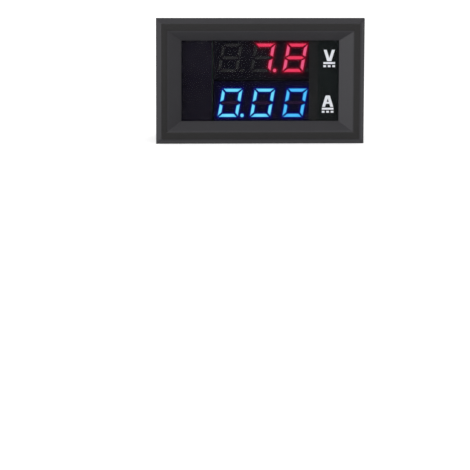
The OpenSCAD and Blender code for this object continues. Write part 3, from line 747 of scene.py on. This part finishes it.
def letter_outlines(letter, x, top, settings):
    """Outlines of a unit letter, in x and z: V in one piece, A as two legs in one piece and its cross bar.

    The arms lean by the slope (half width - half apex) / height; their inner edges are parallel to
    the outer ones, a stroke further in, and meet on the letter's axis.
    """
    half, height, stroke = settings.letter_w / 2, settings.letter_h, settings.letter_stroke
    inner = half - stroke
    apex = 0.37 * half
    slope = (half - apex) / height
    notch = inner / slope
    if letter == "V":
        outlines = [[(-half, 0), (-apex, -height), (apex, -height), (half, 0), (inner, 0), (0, -notch),
                     (-inner, 0)]]
    else:
        legs = [(-half, -height), (-apex, 0), (apex, 0), (half, -height), (inner, -height),
                (0, notch - height), (-inner, -height)]
        low, high = 0.27 * height, 0.27 * height + 0.62 * stroke
        wide, narrow = inner - slope * low, inner - slope * high
        cross = [(-wide, low - height), (wide, low - height), (narrow, high - height),
                 (-narrow, high - height)]
        outlines = [legs, cross]
    return [np.array(outline) + [x, top] for outline in outlines]


def bar_outlines(x, top, settings):
    """One long bar and three dashes under it, as wide together as the bar."""
    width, height = settings.bar_w, settings.bar_h
    dash = 0.235 * width
    gap = (width - 3 * dash) / 2
    left, under = x - width / 2, top - (height + settings.bar_gap)
    bars = [(left, width, top)] + [(left + number * (dash + gap), dash, under) for number in range(3)]
    return [np.array([(x0, z), (x0 + wide, z), (x0 + wide, z - height), (x0, z - height)])
            for x0, wide, z in bars]


class METER_OT_window(bpy.types.Operator):
    """Make the smoked window, the films behind it, which are a printed mask and two sheets of painted shade,
    and the unit marks printed on it.
    """

    bl_idname = "meter.window"
    bl_label = "Window"

    def execute(self, context):
        settings = context.scene.meter_window
        edge, thin = settings.edge, settings.ink_height
        front, back = LENS_LO.y, LENS_HI.y
        sheet_corner, film_corner = 0.6 * MM, 0.05 * MM
        smoke = grained("Smoked acrylic", settings.tint, 0.12, 0.0, drift=0.15, drifts=120.0,
                        rough_drift=0.03, Alpha=settings.opacity, Specular_IOR_Level=settings.reflectance)
        bow = [(edge, front), (0.3 * edge, front + 0.3 * edge), (0, front + edge),
               (0, back - edge), (0.3 * edge, back - 0.3 * edge), (edge, back)]
        sheet = plate(LENS_LO.x, LENS_HI.x, LENS_LO.z, LENS_HI.z, bow, sheet_corner)
        show_piece("smoked_window", solid_mesh([sheet]), smoke, "smoked_acrylic", stands_for="lens")

        films = {"mask": (settings.mask_start, LENS_HI.x),
                 "strip": (settings.strip_start, settings.mask_start),
                 "shade": (LENS_LO.x, -settings.shade_start)}
        steps = [(0, back + 0.1 * thin), (0, back + thin)]
        # The mask is print; the strip and the shade are painted shade standing in for the dim inside of the
        # housing
        for film, (x0, x1) in films.items():
            name = f"window_{film}"
            ink = grained(f"Film ink, {name}", getattr(settings, film), 0.6, 0.0, Specular_IOR_Level=0.05)
            layer = plate(x0, x1, LENS_LO.z, LENS_HI.z, steps, film_corner)
            show_piece(name, solid_mesh([layer]), ink, "display_black")

        outlines = []
        volt_top, amp_top = 7.13 * MM, -3.45 * MM
        for letter, x, top in (("V", settings.volt_x, volt_top), ("A", settings.amp_x, amp_top)):
            under = top - settings.letter_h - 0.8 * settings.bar_gap
            outlines += letter_outlines(letter, x, top, settings) + bar_outlines(x, under, settings)
        marks = [np.stack([placed(outline, front), placed(outline, front - thin)]) for outline in outlines]
        ink = grained("Unit mark ink", settings.ink, 0.5, 0.001 * MM, drift=0.04)
        show_piece("unit_marks", solid_mesh(marks), ink, "white_nylon")
        return {"FINISHED"}


# ---- Displays ----


# How far the painted faces and the segments stand before the display blocks
FACE_AHEAD = 0.012 * MM
BAR_AHEAD = 0.022 * MM


def resin_material(name, core, edge, rim_width, brightness=0.0):
    """Resin that shows its core colour, or glows in it, and turns and dims towards its outline."""
    material, tree, shader = new_material(name, Base_Color=rgba([0.02] * 3), Roughness=0.45,
                                          Specular_IOR_Level=0.1, Emission_Strength=brightness)
    resin = shared_group(tree, "Resin", resin_group, {
        "Core": rgba(core), "Edge": rgba(edge), "Rim Width": rim_width,
        "Edge Distance": kept_value(tree, "edge_distance"), "Level": kept_value(tree, "light_level")})
    set_inputs(shader, {"Emission Color" if brightness else "Base Color": resin.outputs["Colour"]})
    material.cycles.emission_sampling = "NONE"
    return material


def face_material(name, colour, halo):
    """Matt paint that the light of the segments spreads over."""
    material, tree, shader, _ = grained_nodes(name, colour, 0.6, 0.0, Specular_IOR_Level=0.02,
                                              Emission_Strength=1.0)
    set_inputs(shader, {"Emission Color": scaled_colour(tree, tuple(halo), kept_value(tree, "halo"))})
    material.cycles.emission_sampling = "NONE"
    return material


def painted_face(node, lit, reach, settings):
    """Thin painted face over a display block: a grid whose points keep the light that spreads over the paint.

    At a distance d from the lit segments it is s exp(-d / near) + (1 - s) exp(-d / reach).
    """
    low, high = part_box(node)
    columns, rows = (int(size / settings.face_step) + 1 for size in (high.x - low.x, high.z - low.z))
    x, z = np.meshgrid(np.linspace(low.x, high.x, columns), np.linspace(low.z, high.z, rows))
    flat = np.column_stack([x.ravel(), z.ravel()])
    corner = (np.arange(rows - 1)[:, None] * columns + np.arange(columns - 1)[None, :]).ravel()
    faces = np.column_stack([corner, corner + 1, corner + columns + 1, corner + columns])
    mesh = bpy.data.meshes.new("face")
    mesh.from_pydata(placed(flat, low.y - FACE_AHEAD).tolist(), [], faces.tolist())
    distance = outline_distance(flat, lit)
    near = settings.near_share * np.exp(-distance / settings.near_reach)
    keep_values(mesh, "halo", near + (1 - settings.near_share) * np.exp(-distance / reach))
    return mesh


def lit_level(outline, low, high, share, last):
    """Level segments show a share of their core colour, upright ones all of it, the last digit less."""
    width, height = np.ptp(outline, axis=0)
    level = share if width > 1.2 * height else 1.0
    return level * last if outline[:, 0].mean() > low.x + 0.66 * (high.x - low.x) else level


def resin_bars(node, shares, settings, seed):
    """Domed bars for all the segments of a CAD node, with the light level of each.

    The shares are those of level segments and of the last digit if the node is lit, or else that of
    the points.
    """
    low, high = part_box(node)
    chance = np.random.default_rng(seed)
    solids, distances, levels = [], [], []
    for outline in front_outlines(node):
        solid, distance, outwards = domed_bar(
            outline, high.y, DISPLAY_FRONT - BAR_AHEAD, settings.dome, settings.cut)
        if len(shares) == 2:
            level = lit_level(outline, low, high, *shares)
        else:
            level = shares[0] if np.ptp(outline, axis=0).max() < settings.point else 1.0
        solids.append(solid)
        distances.append(distance)
        levels.append(level * chance.uniform(0.9, 1.0) * (1 - settings.end_fade * outwards ** 2))
    return solid_mesh(solids, {"edge_distance": distances, "light_level": levels})


class METER_OT_displays(bpy.types.Operator):
    """Make the painted faces and the resin segments of both display blocks."""

    bl_idname = "meter.displays"
    bl_label = "Displays"

    def execute(self, context):
        settings = context.scene.meter_displays
        paint = grained("Display case", settings.case, 0.55, 0.002 * MM, Specular_IOR_Level=0.1)
        laminate = grained("Display laminate", settings.laminate, 0.5, 0.002 * MM)
        for seed, row in enumerate(("red", "blue")):
            core, edge, halo, reach, level, last, paint_colour, unlit = (
                getattr(settings, f"{row}_{name}")
                for name in ("core", "edge", "halo", "reach", "level", "last", "face", "unlit"))
            case = f"{row}_display_case"
            finish_node(case, paint)
            finish_node(f"{row}_display_base", laminate)
            face = painted_face(case, front_outlines(f"{row}_segments_lit"), reach, settings)
            glowing = face_material(f"Painted face, {row}", paint_colour, halo)
            piece = show_piece(f"{row}_display_face", face, glowing, "display_black")
            sheet = piece.modifiers.new("Paint thickness", "SOLIDIFY")
            sheet.thickness = 0.8 * FACE_AHEAD
            sheet.offset = -1.0

            on = resin_material(f"Lit resin, {row}", core, edge, settings.rim, settings.brightness)
            off = resin_material(f"Unlit resin, {row}", unlit, Vector(unlit) * 0.5, settings.rim)
            for state, resin, slot, shares in (("lit", on, f"lit_{row}", (level, last)),
                                               ("unlit", off, "unlit_resin", (settings.unlit_point,))):
                node = f"{row}_segments_{state}"
                bars = resin_bars(node, shares, settings, seed)
                show_piece(f"{row}_resin_{state}", bars, resin, slot, stands_for=node)
        return {"FINISHED"}


# ---- Circuit board ----


# End caps of the small chips, and the chips that they sit on
END_CAPS = {"resistor_end_caps": "chip_resistors", "capacitor_end_caps": "chip_capacitors"}
# Terminals, their package, the direction they reach out in (0 for x, 1 for z), and a bent lead's foot
TERMINALS = [("controller_leads", "controller", 0, 0.6 * MM), ("amplifier_leads", "amplifier", 0, 0.6 * MM),
             ("regulator_leads", "regulator", 1, None), ("input_diode_terminals", "input_diode", 1, None),
             ("bulk_capacitor_terminals", "bulk_capacitor", 1, None),
             ("volt_trimmer_terminals", "volt_trimmer_base", 1, None),
             ("amp_trimmer_terminals", "amp_trimmer_base", 1, None)]
# Parts with a printed frame, and how far it stands off them
FRAMED = {"controller": 0.3 * MM, "amplifier": 0.3 * MM, "regulator": 0.25 * MM, "input_diode": 0.4 * MM,
          "bulk_capacitor": 0.4 * MM, "power_socket": 0.35 * MM, "current_socket": 0.35 * MM}
# Thickness of the printed lines
PRINT_HEIGHT = 0.02 * MM


def board_material(name, colour):
    """Glossy solder mask with the weave of the laminate showing faintly."""
    return grained(name, colour, 0.28, 0.0015 * MM, grains=2600.0, drift=0.1, drifts=500.0, Coat_Weight=0.4,
                   Coat_Roughness=0.15)


def terminal_pad(box, centre, axis, settings, foot=None):
    """Pad with solder under one terminal: drawn out by the toe on the side away from its package.

    The solder is crowned: its rings rise to three heights while they draw in.
    """
    corner = 0.1 * MM
    bounds = box[:, [0, 2]]
    outer = int(middle_of(box)[axis] > centre[axis])
    away = 2 * outer - 1
    if foot is not None:
        bounds[1 - outer, axis] = bounds[outer, axis] - away * foot
    bounds += [[-settings.pad_edge], [settings.pad_edge]]
    bounds[outer, axis] += away * (settings.toe - settings.pad_edge)
    rise = [(inset * MM, BOARD_BACK + height * MM)
            for inset, height in ((0, 0), (0, 0.03), (0.05, 0.07), (0.11, 0.085))]
    return plate(*bounds[:, 0], *bounds[:, 1], rise, corner)


def chip_ends():
    """Box of each end cap of the small chips, and the middle of the chip that lies nearest to it."""
    for caps, chips in END_CAPS.items():
        middles = np.array([middle_of(box) for box in part_boxes(chips)])
        for box in part_boxes(caps):
            yield box, middles[np.argmin(np.linalg.norm(middles - middle_of(box), axis=1))]


def all_pads(settings):
    """Pads under every surface-mounted terminal."""
    pads = [terminal_pad(box, centre, 0, settings) for box, centre in chip_ends()]
    for terminals, package, axis, foot in TERMINALS:
        centre = middle_of(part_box(package))
        pads += [terminal_pad(box, centre, axis, settings, foot) for box in part_boxes(terminals)]
    return pads


def chip_fillets(settings):
    """Concave solder at the outer ends of the small chips.

    Its height is h (1 - sin a)^1.5 over a thin film, while it runs out to the toe as sin a.
    """
    angle = np.linspace(0, math.pi / 2, 7)
    film, inset = 0.03 * MM, 0.04 * MM
    fillets = []
    for (low, high), centre in chip_ends():
        away = 1 if (low[0] + high[0]) / 2 > centre[0] else -1
        start, toe = (high if away > 0 else low)[0], away * settings.toe
        rise = 0.62 * (high[1] - low[1]) * (1 - np.sin(angle)) ** 1.5 + film
        section = np.vstack([np.column_stack([start + toe * np.sin(angle), BOARD_BACK + rise]),
                             [[start + toe, BOARD_BACK], [start, BOARD_BACK]]])
        fillets.append(np.stack([np.column_stack([section, np.full(len(section), z)])
                                 for z in (low[2] + inset, high[2] - inset)]))
    return fillets


def lead_stubs():
    """Tracks from the leads of both chips to vias: straight, then at 45 degrees, every second one longer."""
    fan, short, extra = 0.12 * MM, 0.65 * MM, 0.6 * MM
    paths, vias = [], []
    for chip in ("controller", "amplifier"):
        centre = middle_of(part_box(chip))[0]
        boxes = sorted(part_boxes(f"{chip}_leads"), key=lambda box: box[0][2])
        for away in (1, -1):
            row = [box for box in boxes if (middle_of(box)[0] > centre) == (away > 0)]
            for number, box in enumerate(row):
                toe, z = box[(away + 1) // 2][0], middle_of(box)[1]
                spread = (number - (len(row) - 1) / 2) * fan
                end = (toe + away * (short + extra * (number % 2)), z + spread)
                paths.append([(toe, z), (end[0] - away * abs(spread), z), end])
                vias.append(end)
    return paths, vias


def bus_paths():
    """Three tracks between the two resistor columns, which draw together to pass between the pin rows."""
    middles = np.array([middle_of(box) for box in part_boxes("chip_resistors")])
    between, reach, lane, ramp = 2 * MM, 1.05 * MM, 0.4 * MM, 0.28 * MM
    inner = middles[np.abs(middles[:, 1]) < between]
    left, right = inner[:, 0].min() + reach, inner[:, 0].max() - reach
    paths = []
    for level in np.unique(inner[:, 1].round(6)):
        row = np.sign(level) * lane if abs(level) > lane else 0.0
        shift = abs(level - row) + ramp
        paths.append([(left, level), (left + shift, row), (right - shift, row), (right, level)])
    return paths


def edge_paths():
    """Three tracks along each long edge of the board, with a diagonal at both ends, and their vias."""
    paths, vias = [], []
    inset, pitch, shorter = 0.6 * MM, 0.42 * MM, 0.8 * MM
    for edge, inwards, left, right in ((BOARD_HI.z, -1, -12.4 * MM, 13.2 * MM),
                                       (BOARD_LO.z, 1, -11.6 * MM, 12.0 * MM)):
        for number, drop in enumerate((0.9 * MM, 1.15 * MM, 0.3 * MM)):
            z = edge + inwards * (inset + number * pitch)
            x0, x1 = left + number * shorter, right - number * shorter
            start, end = (x0 - drop, z + inwards * drop), (x1 + drop, z + inwards * drop)
            paths.append([start, (x0, z), (x1, z), end])
            vias += [start, end]
    return paths, vias


def power_paths():
    """Wide tracks from the power socket towards the regulator and from the current socket, and their vias."""
    power, trimmer, current = (
        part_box(node)[0] for node in ("power_socket", "volt_trimmer_base", "current_socket"))
    inset, lane = 1 * MM, trimmer.z - 0.95 * MM
    supply = [(power.x + inset, lane), (trimmer.x - inset, lane)]
    x = middle_of(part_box("current_socket"))[0]
    bend, end, turn = current.z - 1.6 * MM, current.z - 2.8 * MM, 1.2 * MM
    sense = [(x, current.z + inset), (x, bend), (x + turn, end)]
    step, off = 0.75 * MM, 0.36 * MM
    vias = [(trimmer.x - (inset + i * step), lane + j * off) for i in range(3) for j in (-1, 1)]
    pitch, under = 0.7 * MM, 0.1 * MM
    vias += [(x + (i + 1) * pitch, end - under - j * pitch) for i in range(3) for j in range(2)]
    return [supply, sense], vias


def via_ring(x, z, diameter):
    """Via under solder mask: a low ring with a dimple in its middle."""
    profile = [(1, 0), (0.93, 0.022), (0.72, 0.032), (0.5, 0.026), (0.36, 0.008), (0.12, 0.005)]
    return revolved([(share * diameter / 2, BOARD_BACK + height * MM) for share, height in profile], x, z, 20)


def printed_frames(settings):
    """Printed line round each framed part."""
    frames = []
    for node, margin in FRAMED.items():
        low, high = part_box(node)
        x0, x1, z0, z1 = low.x - margin, high.x + margin, low.z - margin, high.z + margin
        corners = [(x0, z0), (x1, z0), (x1, z1), (x0, z1)]
        frames.append(ribbon(corners, settings.ink_w, PRINT_HEIGHT, closed=True))
    return frames


def printed_lines(settings):
    """Open printed lines: beside each small chip, the diode's bar, the plus sign of the bulk capacitor."""
    side, half, arm, gap = 0.72 * MM, 0.45 * MM, 0.4 * MM, settings.ink_w / 2
    bar_off, plus_off = 0.2 * MM, 0.85 * MM
    lines = []
    for node in END_CAPS.values():
        for x, z in map(middle_of, part_boxes(node)):
            lines += [[(x - half, z + s * side), (x + half, z + s * side)] for s in (-1, 1)]
    low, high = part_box("input_diode_terminals")
    z = high.z + settings.toe + bar_off
    lines.append([(low.x - arm, z), (high.x + arm, z)])
    low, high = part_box("bulk_capacitor_terminals")
    x, z = (low.x + high.x) / 2, high.z + settings.toe + plus_off
    lines += [[(x - arm, z), (x + arm, z)], [(x, z + gap), (x, z + arm)], [(x, z - gap), (x, z - arm)]]
    return [ribbon(line, settings.ink_w, PRINT_HEIGHT) for line in lines]


def first_lead_dots():
    """Printed dot beside the first lead of each chip."""
    radius, beside, above = 0.22 * MM, 0.1 * MM, 0.05 * MM
    profile = [(radius, BOARD_BACK), (0.8 * radius, BOARD_BACK + PRINT_HEIGHT)]
    return [revolved(profile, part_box(f"{chip}_leads")[1].x + beside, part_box(chip)[1].z + above, 20)
            for chip in ("controller", "amplifier")]


class METER_OT_board(bpy.types.Operator):
    """Make the tracks, vias, pads and printed lines on the back of the circuit board."""

    bl_idname = "meter.board"
    bl_label = "Circuit board"

    def execute(self, context):
        settings = context.scene.meter_board
        finish_node("circuit_board", board_material("Solder mask", settings.mask))
        copper = board_material("Solder mask over copper", settings.track)
        solder = metallic("Solder", settings.solder, 0.3, 0.002 * MM)
        ink = grained("Printed line ink", settings.ink, 0.6, 0.001 * MM)

        stubs, stub_vias = lead_stubs()
        edges, edge_vias = edge_paths()
        wide, power_vias = power_paths()
        tracks = [ribbon(path, settings.track_w, settings.track_h) for path in stubs + edges + bus_paths()]
        tracks += [ribbon(path, settings.power_w, settings.track_h) for path in wide]
        rings = [via_ring(x, z, settings.via_d) for x, z in stub_vias + edge_vias + power_vias]
        show_piece("board_tracks", solid_mesh(tracks), copper, "board_green")
        show_piece("board_vias", solid_mesh(rings), copper, "board_green", sharp=60)
        show_piece("solder_pads", solid_mesh(all_pads(settings)), solder, "solder", sharp=60)
        show_piece("chip_fillets", solid_mesh(chip_fillets(settings)), solder, "solder", sharp=50)

        frames = printed_frames(settings)
        prints = frames + printed_lines(settings) + first_lead_dots()
        show_piece("board_print", solid_mesh(prints, closed=len(frames)), ink, "white_nylon")
        return {"FINISHED"}


def solder_cone(low, high, pin, face, way, chance):
    """Solder drawn up a pin in a hollow curve, a little different at each joint.

    Its radius goes from the pad's to a neck just outside the pin's corners as
    r = neck + (pad - neck) (1 - sin a)^1.15, and its height rises as 1 - cos a.
    """
    x, z = middle_of((low, high))
    foot, tip = 0.02 * MM, 0.06 * MM
    pad = (high[0] - low[0]) / 2 * chance.uniform(0.97, 1.03)
    rise = (high[1] - low[1]) * chance.uniform(0.92, 1.06)
    angle = np.linspace(0, math.pi / 2, 9)
    neck = pin * 0.78
    radius = neck + (pad - neck) * (1 - np.sin(angle)) ** 1.15
    height = rise * (1 - np.cos(angle))
    profile = [(pad, 0.0), (pad, foot), *zip(radius[1:], foot + height[1:]), (0.6 * neck, rise + tip)]
    rings = revolved([(r, face + way * y) for r, y in profile], x, z)
    lean = chance.uniform(-0.04, 0.04, 2) * MM
    share = np.abs(rings[..., 1] - face) / rise
    rings[..., 0] += lean[0] * share
    rings[..., 2] += lean[1] * share
    return rings


class METER_OT_solder(bpy.types.Operator):
    """Make the soldered joints of the display pins and of the sockets."""

    bl_idname = "meter.solder"
    bl_label = "Solder joints"

    def execute(self, context):
        settings = context.scene.meter_board
        chance = np.random.default_rng(settings.seed)
        solder = metallic("Joint solder", settings.solder, 0.24, 0.002 * MM)
        wide_pad = 2.4 * MM
        # Face of the board, the way the cones point, and the pins on narrow and on wide pads
        sides = {"display": (BOARD_BACK, 1, 0.5 * MM, 0.5 * MM),
                 "socket": (BOARD_LO.y, -1, 0.64 * MM, 1.14 * MM)}
        for name, (face, way, thin, thick) in sides.items():
            node = f"{name}_solder"
            cones = [solder_cone(low, high, thin if high[0] - low[0] < wide_pad else thick, face, way, chance)
                     for low, high in part_boxes(node)]
            show_piece(f"{name}_joints", solid_mesh(cones), solder, "solder", stands_for=node, sharp=60)
        return {"FINISHED"}


# ---- Sockets, trimmers and packages ----


class METER_OT_sockets(bpy.types.Operator):
    """Ease the edges of the sockets and of all square pins."""

    bl_idname = "meter.sockets"
    bl_label = "Sockets and pins"

    def execute(self, context):
        settings = context.scene.meter_parts
        nylon = grained("Moulded nylon", settings.nylon, 0.42, 0.003 * MM, grains=8000.0, drift=0.05,
                        Subsurface_Weight=0.1, Subsurface_Scale=0.5 * MM)
        tin = metallic("Tinned pins", settings.tin, 0.3, 0.001 * MM)
        socket_tip, display_tip = 0.12 * MM, 0.06 * MM
        for node in ("power_socket", "current_socket"):
            eased_copy(node, "body", settings.edge, nylon, "white_nylon")
        tinned_copies(("power_socket_pins", "current_socket_pins"), socket_tip, tin)
        tinned_copies(("red_display_pins", "blue_display_pins"), display_tip, tin)
        return {"FINISHED"}


def rotor_material(name, colour, centre):
    """Stamped metal with fine turned rings about the rotor's own axis."""
    material, tree, shader, _ = grained_nodes(
        name, colour, 0.3, 0.001 * MM, grains=5000.0, drift=0.1, drifts=1500.0, Metallic=1.0)
    rings = add_node(tree, "ShaderNodeTexWave",
                     {"Vector": position_in(tree, centre), "Scale": 2400.0, "Distortion": 0.6, "Detail": 1.0},
                     wave_type="RINGS", rings_direction="Y")
    set_inputs(shader, {"Normal": raised(tree, rings.outputs["Fac"], 0.003 * MM, 0.5)})
    return material


class METER_OT_trimmers(bpy.types.Operator):
    """Ease the edges of the trimmers: fired bases, stamped rotors and tinned terminals."""

    bl_idname = "meter.trimmers"
    bl_label = "Trimmers"

    def execute(self, context):
        settings = context.scene.meter_parts
        ceramic = grained("Fired ceramic", settings.ceramic, 0.55, 0.004 * MM, grains=10000.0, drift=0.06)
        tin = metallic("Tinned terminals", settings.tin, 0.34, 0.001 * MM)
        stamped_edge, fired_edge = 0.05 * MM, 0.08 * MM
        for name in ("volt_trimmer", "amp_trimmer"):
            rotor, base = f"{name}_rotor", f"{name}_base"
            x, z = middle_of(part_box(base))
            stamped = rotor_material(f"Stamped rotor, {name}", settings.tin, (x, 0, z))
            eased_copy(rotor, "metal", stamped_edge, stamped, "rotor_metal", body=rotor)
            eased_copy(base, "fired", fired_edge, ceramic, "trimmer_ceramic")
            tinned_copies([f"{name}_terminals"], settings.fine_edge, tin)
        return {"FINISHED"}


class METER_OT_packages(bpy.types.Operator):
    """Ease the edges of the moulded packages and their leads."""

    bl_idname = "meter.packages"
    bl_label = "Packages"

    def execute(self, context):
        settings = context.scene.meter_parts
        compound = grained("Moulding compound", settings.compound, 0.5, 0.005 * MM, grains=9000.0, drift=0.12)
        tantalum = grained("Tantalum case", settings.tantalum, 0.45, 0.004 * MM, grains=9000.0)
        tin = metallic("Tinned leads", settings.tin, 0.32, 0.001 * MM)
        moulded_edge, slope = 0.06 * MM, 12
        for node in ("controller", "amplifier", "regulator", "input_diode"):
            eased_copy(node, "package", moulded_edge, compound, "chip_black", angle=slope)
        eased_copy("bulk_capacitor", "case", moulded_edge, tantalum, "tantalum_yellow", angle=slope)
        tinned_copies(("controller_leads", "amplifier_leads", "regulator_leads", "input_diode_terminals",
                       "bulk_capacitor_terminals"), settings.fine_edge, tin)
        return {"FINISHED"}


def resistor_material(settings):
    """White alumina sides under a glossy black coat, which begins at a height over the board."""
    material, tree, shader = new_material("Coated alumina", Roughness=0.3)
    depth = add_node(tree, "ShaderNodeSeparateXYZ", {"Vector": position_in(tree)}).outputs["Y"]
    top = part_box("chip_resistors")[1].y
    coat = ranged(tree, depth, top - 0.09 * MM, top - 0.07 * MM, 0.0, 1.0)
    set_inputs(shader, {
        "Base Color": mixed(tree, coat, rgba(settings.alumina), rgba(settings.compound)),
        "Roughness": ranged(tree, coat, 0.0, 1.0, 0.6, 0.22)})
    return material


class METER_OT_chips(bpy.types.Operator):
    """Ease the edges of the small chip resistors and capacitors."""

    bl_idname = "meter.chips"
    bl_label = "Small chips"

    def execute(self, context):
        settings = context.scene.meter_parts
        tan = grained("Chip capacitor ceramic", settings.chip_tan, 0.4, 0.003 * MM, grains=9000.0)
        tin = metallic("Tinned end caps", settings.tin, 0.33, 0.001 * MM)
        coated_edge, chip_edge = 0.03 * MM, 0.05 * MM
        eased_copy("chip_resistors", "coated", coated_edge, resistor_material(settings), "chip_black")
        eased_copy("chip_capacitors", "fired", chip_edge, tan, "capacitor_tan")
        tinned_copies(END_CAPS, chip_edge, tin)
        return {"FINISHED"}


# ---- Stage ----


def seen_directly(tree):
    """1 for rays from the camera, off gloss or through glass, 0 for the others."""
    path = add_node(tree, "ShaderNodeLightPath").outputs
    seen = calculated(tree, "MAXIMUM", path["Is Camera Ray"], path["Is Glossy Ray"])
    return calculated(tree, "MAXIMUM", seen, path["Is Transmission Ray"])


def floor_material(settings):
    """Pale matt floor that is lifted to white where it is seen, and still shows the shadow."""
    material, tree, shader = new_material("Pale floor", Base_Color=rgba(settings.floor), Roughness=0.9,
                                          Specular_IOR_Level=0.0)
    place = add_node(tree, "ShaderNodeTexCoord").outputs["Object"]
    distance = add_node(tree, "ShaderNodeVectorMath", {0: place}, operation="LENGTH").outputs["Value"]
    lift = calculated(tree, "MULTIPLY", seen_directly(tree),
                      ranged(tree, distance, 0.5, 1.5, settings.floor_lift, 1.0, smooth=True))
    glow = add_node(tree, "ShaderNodeEmission", {"Color": (1, 1, 1, 1), "Strength": lift})
    both = add_node(tree, "ShaderNodeAddShader", {0: shader.outputs["BSDF"], 1: glow.outputs["Emission"]})
    set_inputs(tree.nodes["Material Output"], {"Surface": both.outputs["Shader"]})
    return material


def white_world(ambient):
    """World that is white where it is seen and lights the object more softly."""
    world = bpy.data.worlds.new("White surroundings")
    world.use_nodes = True
    tree = world.node_tree
    strength = ranged(tree, seen_directly(tree), 0.0, 1.0, ambient, 1.0)
    set_inputs(tree.nodes["Background"], {"Color": (1, 1, 1, 1), "Strength": strength})
    bpy.context.scene.world = world


def soft_light(name, place, aim, width, power):
    """Square area light turned towards a point."""
    data = bpy.data.lights.new(name, "AREA")
    data.size = width
    data.energy = power
    light = bpy.data.objects.new(name, data)
    light.location = place
    light.rotation_mode = "QUATERNION"
    light.rotation_quaternion = (Vector(aim) - Vector(place)).to_track_quat("-Z", "Y")
    bpy.context.scene.collection.objects.link(light)


def aimed_camera(settings):
    """Camera whose right and up directions are turned about its line of sight by the roll."""
    data = bpy.data.cameras.new("Camera")
    data.lens = settings.focal
    data.sensor_width = 36
    data.clip_start, data.clip_end = 0.01, 50
    camera = bpy.data.objects.new("Camera", data)
    bpy.context.scene.collection.objects.link(camera)
    ahead = (Vector(settings.aim) - Vector(settings.place)).normalized()
    right = ahead.cross(Vector((0, 0, 1))).normalized()
    up = right.cross(ahead)
    cos, sin = math.cos(settings.roll), math.sin(settings.roll)
    axes = Matrix((right * cos + up * sin, up * cos - right * sin, -ahead))
    camera.matrix_world = Matrix.Translation(settings.place) @ axes.transposed().to_4x4()
    bpy.context.scene.camera = camera


class METER_OT_stage(bpy.types.Operator):
    """Make the pale floor, the soft lights, the white surroundings and the camera."""

    bl_idname = "meter.stage"
    bl_label = "Stage"

    def execute(self, context):
        settings = context.scene.meter_stage
        half, z = 6.0, CAD_BOX[0].z
        corners = [(-half, -half, z), (half, -half, z), (half, half, z), (-half, half, z)]
        mesh = bpy.data.meshes.new("floor")
        mesh.from_pydata(corners, [], [[0, 1, 2, 3]])
        mesh.materials.append(floor_material(settings))
        floor = bpy.data.objects.new("floor", mesh)
        context.scene.collection.objects.link(floor)

        middle = (CAD_BOX[0] + CAD_BOX[1]) / 2
        lights = {"left": ((-0.8, -0.55, 0.14), 0.4), "right": ((0.6, -0.6, 0.5), 0.5),
                  "front": ((0, -0.95, 0.2), 0.4), "top": ((0, -0.55, 0.75), 0.6),
                  "rear": ((0.35, 0.75, 0.5), 0.5)}
        for name, (place, width) in lights.items():
            soft_light(f"{name.capitalize()} light", place, middle, width, getattr(settings, name))
        white_world(settings.ambient)
        aimed_camera(settings)
        context.scene.view_settings.view_transform = "Standard"
        return {"FINISHED"}


# ---- Panel ----


OPERATORS = (METER_OT_housing, METER_OT_window, METER_OT_displays, METER_OT_board, METER_OT_solder,
             METER_OT_sockets, METER_OT_trimmers, METER_OT_packages, METER_OT_chips, METER_OT_stage)
SETTINGS = {"meter_housing": HousingSettings, "meter_window": WindowSettings,
            "meter_displays": DisplaySettings, "meter_board": BoardSettings,
            "meter_parts": PartSettings, "meter_stage": StageSettings}


class METER_PT_panel(bpy.types.Panel):
    """Settings and operators of the panel meter."""

    bl_label = "Panel Meter"
    bl_idname = "METER_PT_panel"
    bl_space_type = "VIEW_3D"
    bl_region_type = "UI"
    bl_category = "Panel Meter"

    def draw(self, context):
        for operator in OPERATORS:
            self.layout.operator(operator.bl_idname)
        for name, group in SETTINGS.items():
            box = self.layout.box()
            box.label(text=group.__doc__)
            for key in group.__annotations__:
                box.prop(getattr(context.scene, name), key)


def register():
    """Register the settings, operators and panel."""
    for name, group in SETTINGS.items():
        bpy.utils.register_class(group)
        setattr(bpy.types.Scene, name, PointerProperty(type=group))
    for made in (*OPERATORS, METER_PT_panel):
        bpy.utils.register_class(made)


def unregister():
    """Take them out again."""
    for made in (METER_PT_panel, *OPERATORS):
        bpy.utils.unregister_class(made)
    for name, group in SETTINGS.items():
        delattr(bpy.types.Scene, name)
        bpy.utils.unregister_class(group)


def main():
    """Build the meter and its stage."""
    register()
    for operator in OPERATORS:
        area, name = operator.bl_idname.split(".")
        getattr(getattr(bpy.ops, area), name)()


if __name__ == "__main__":
    main()
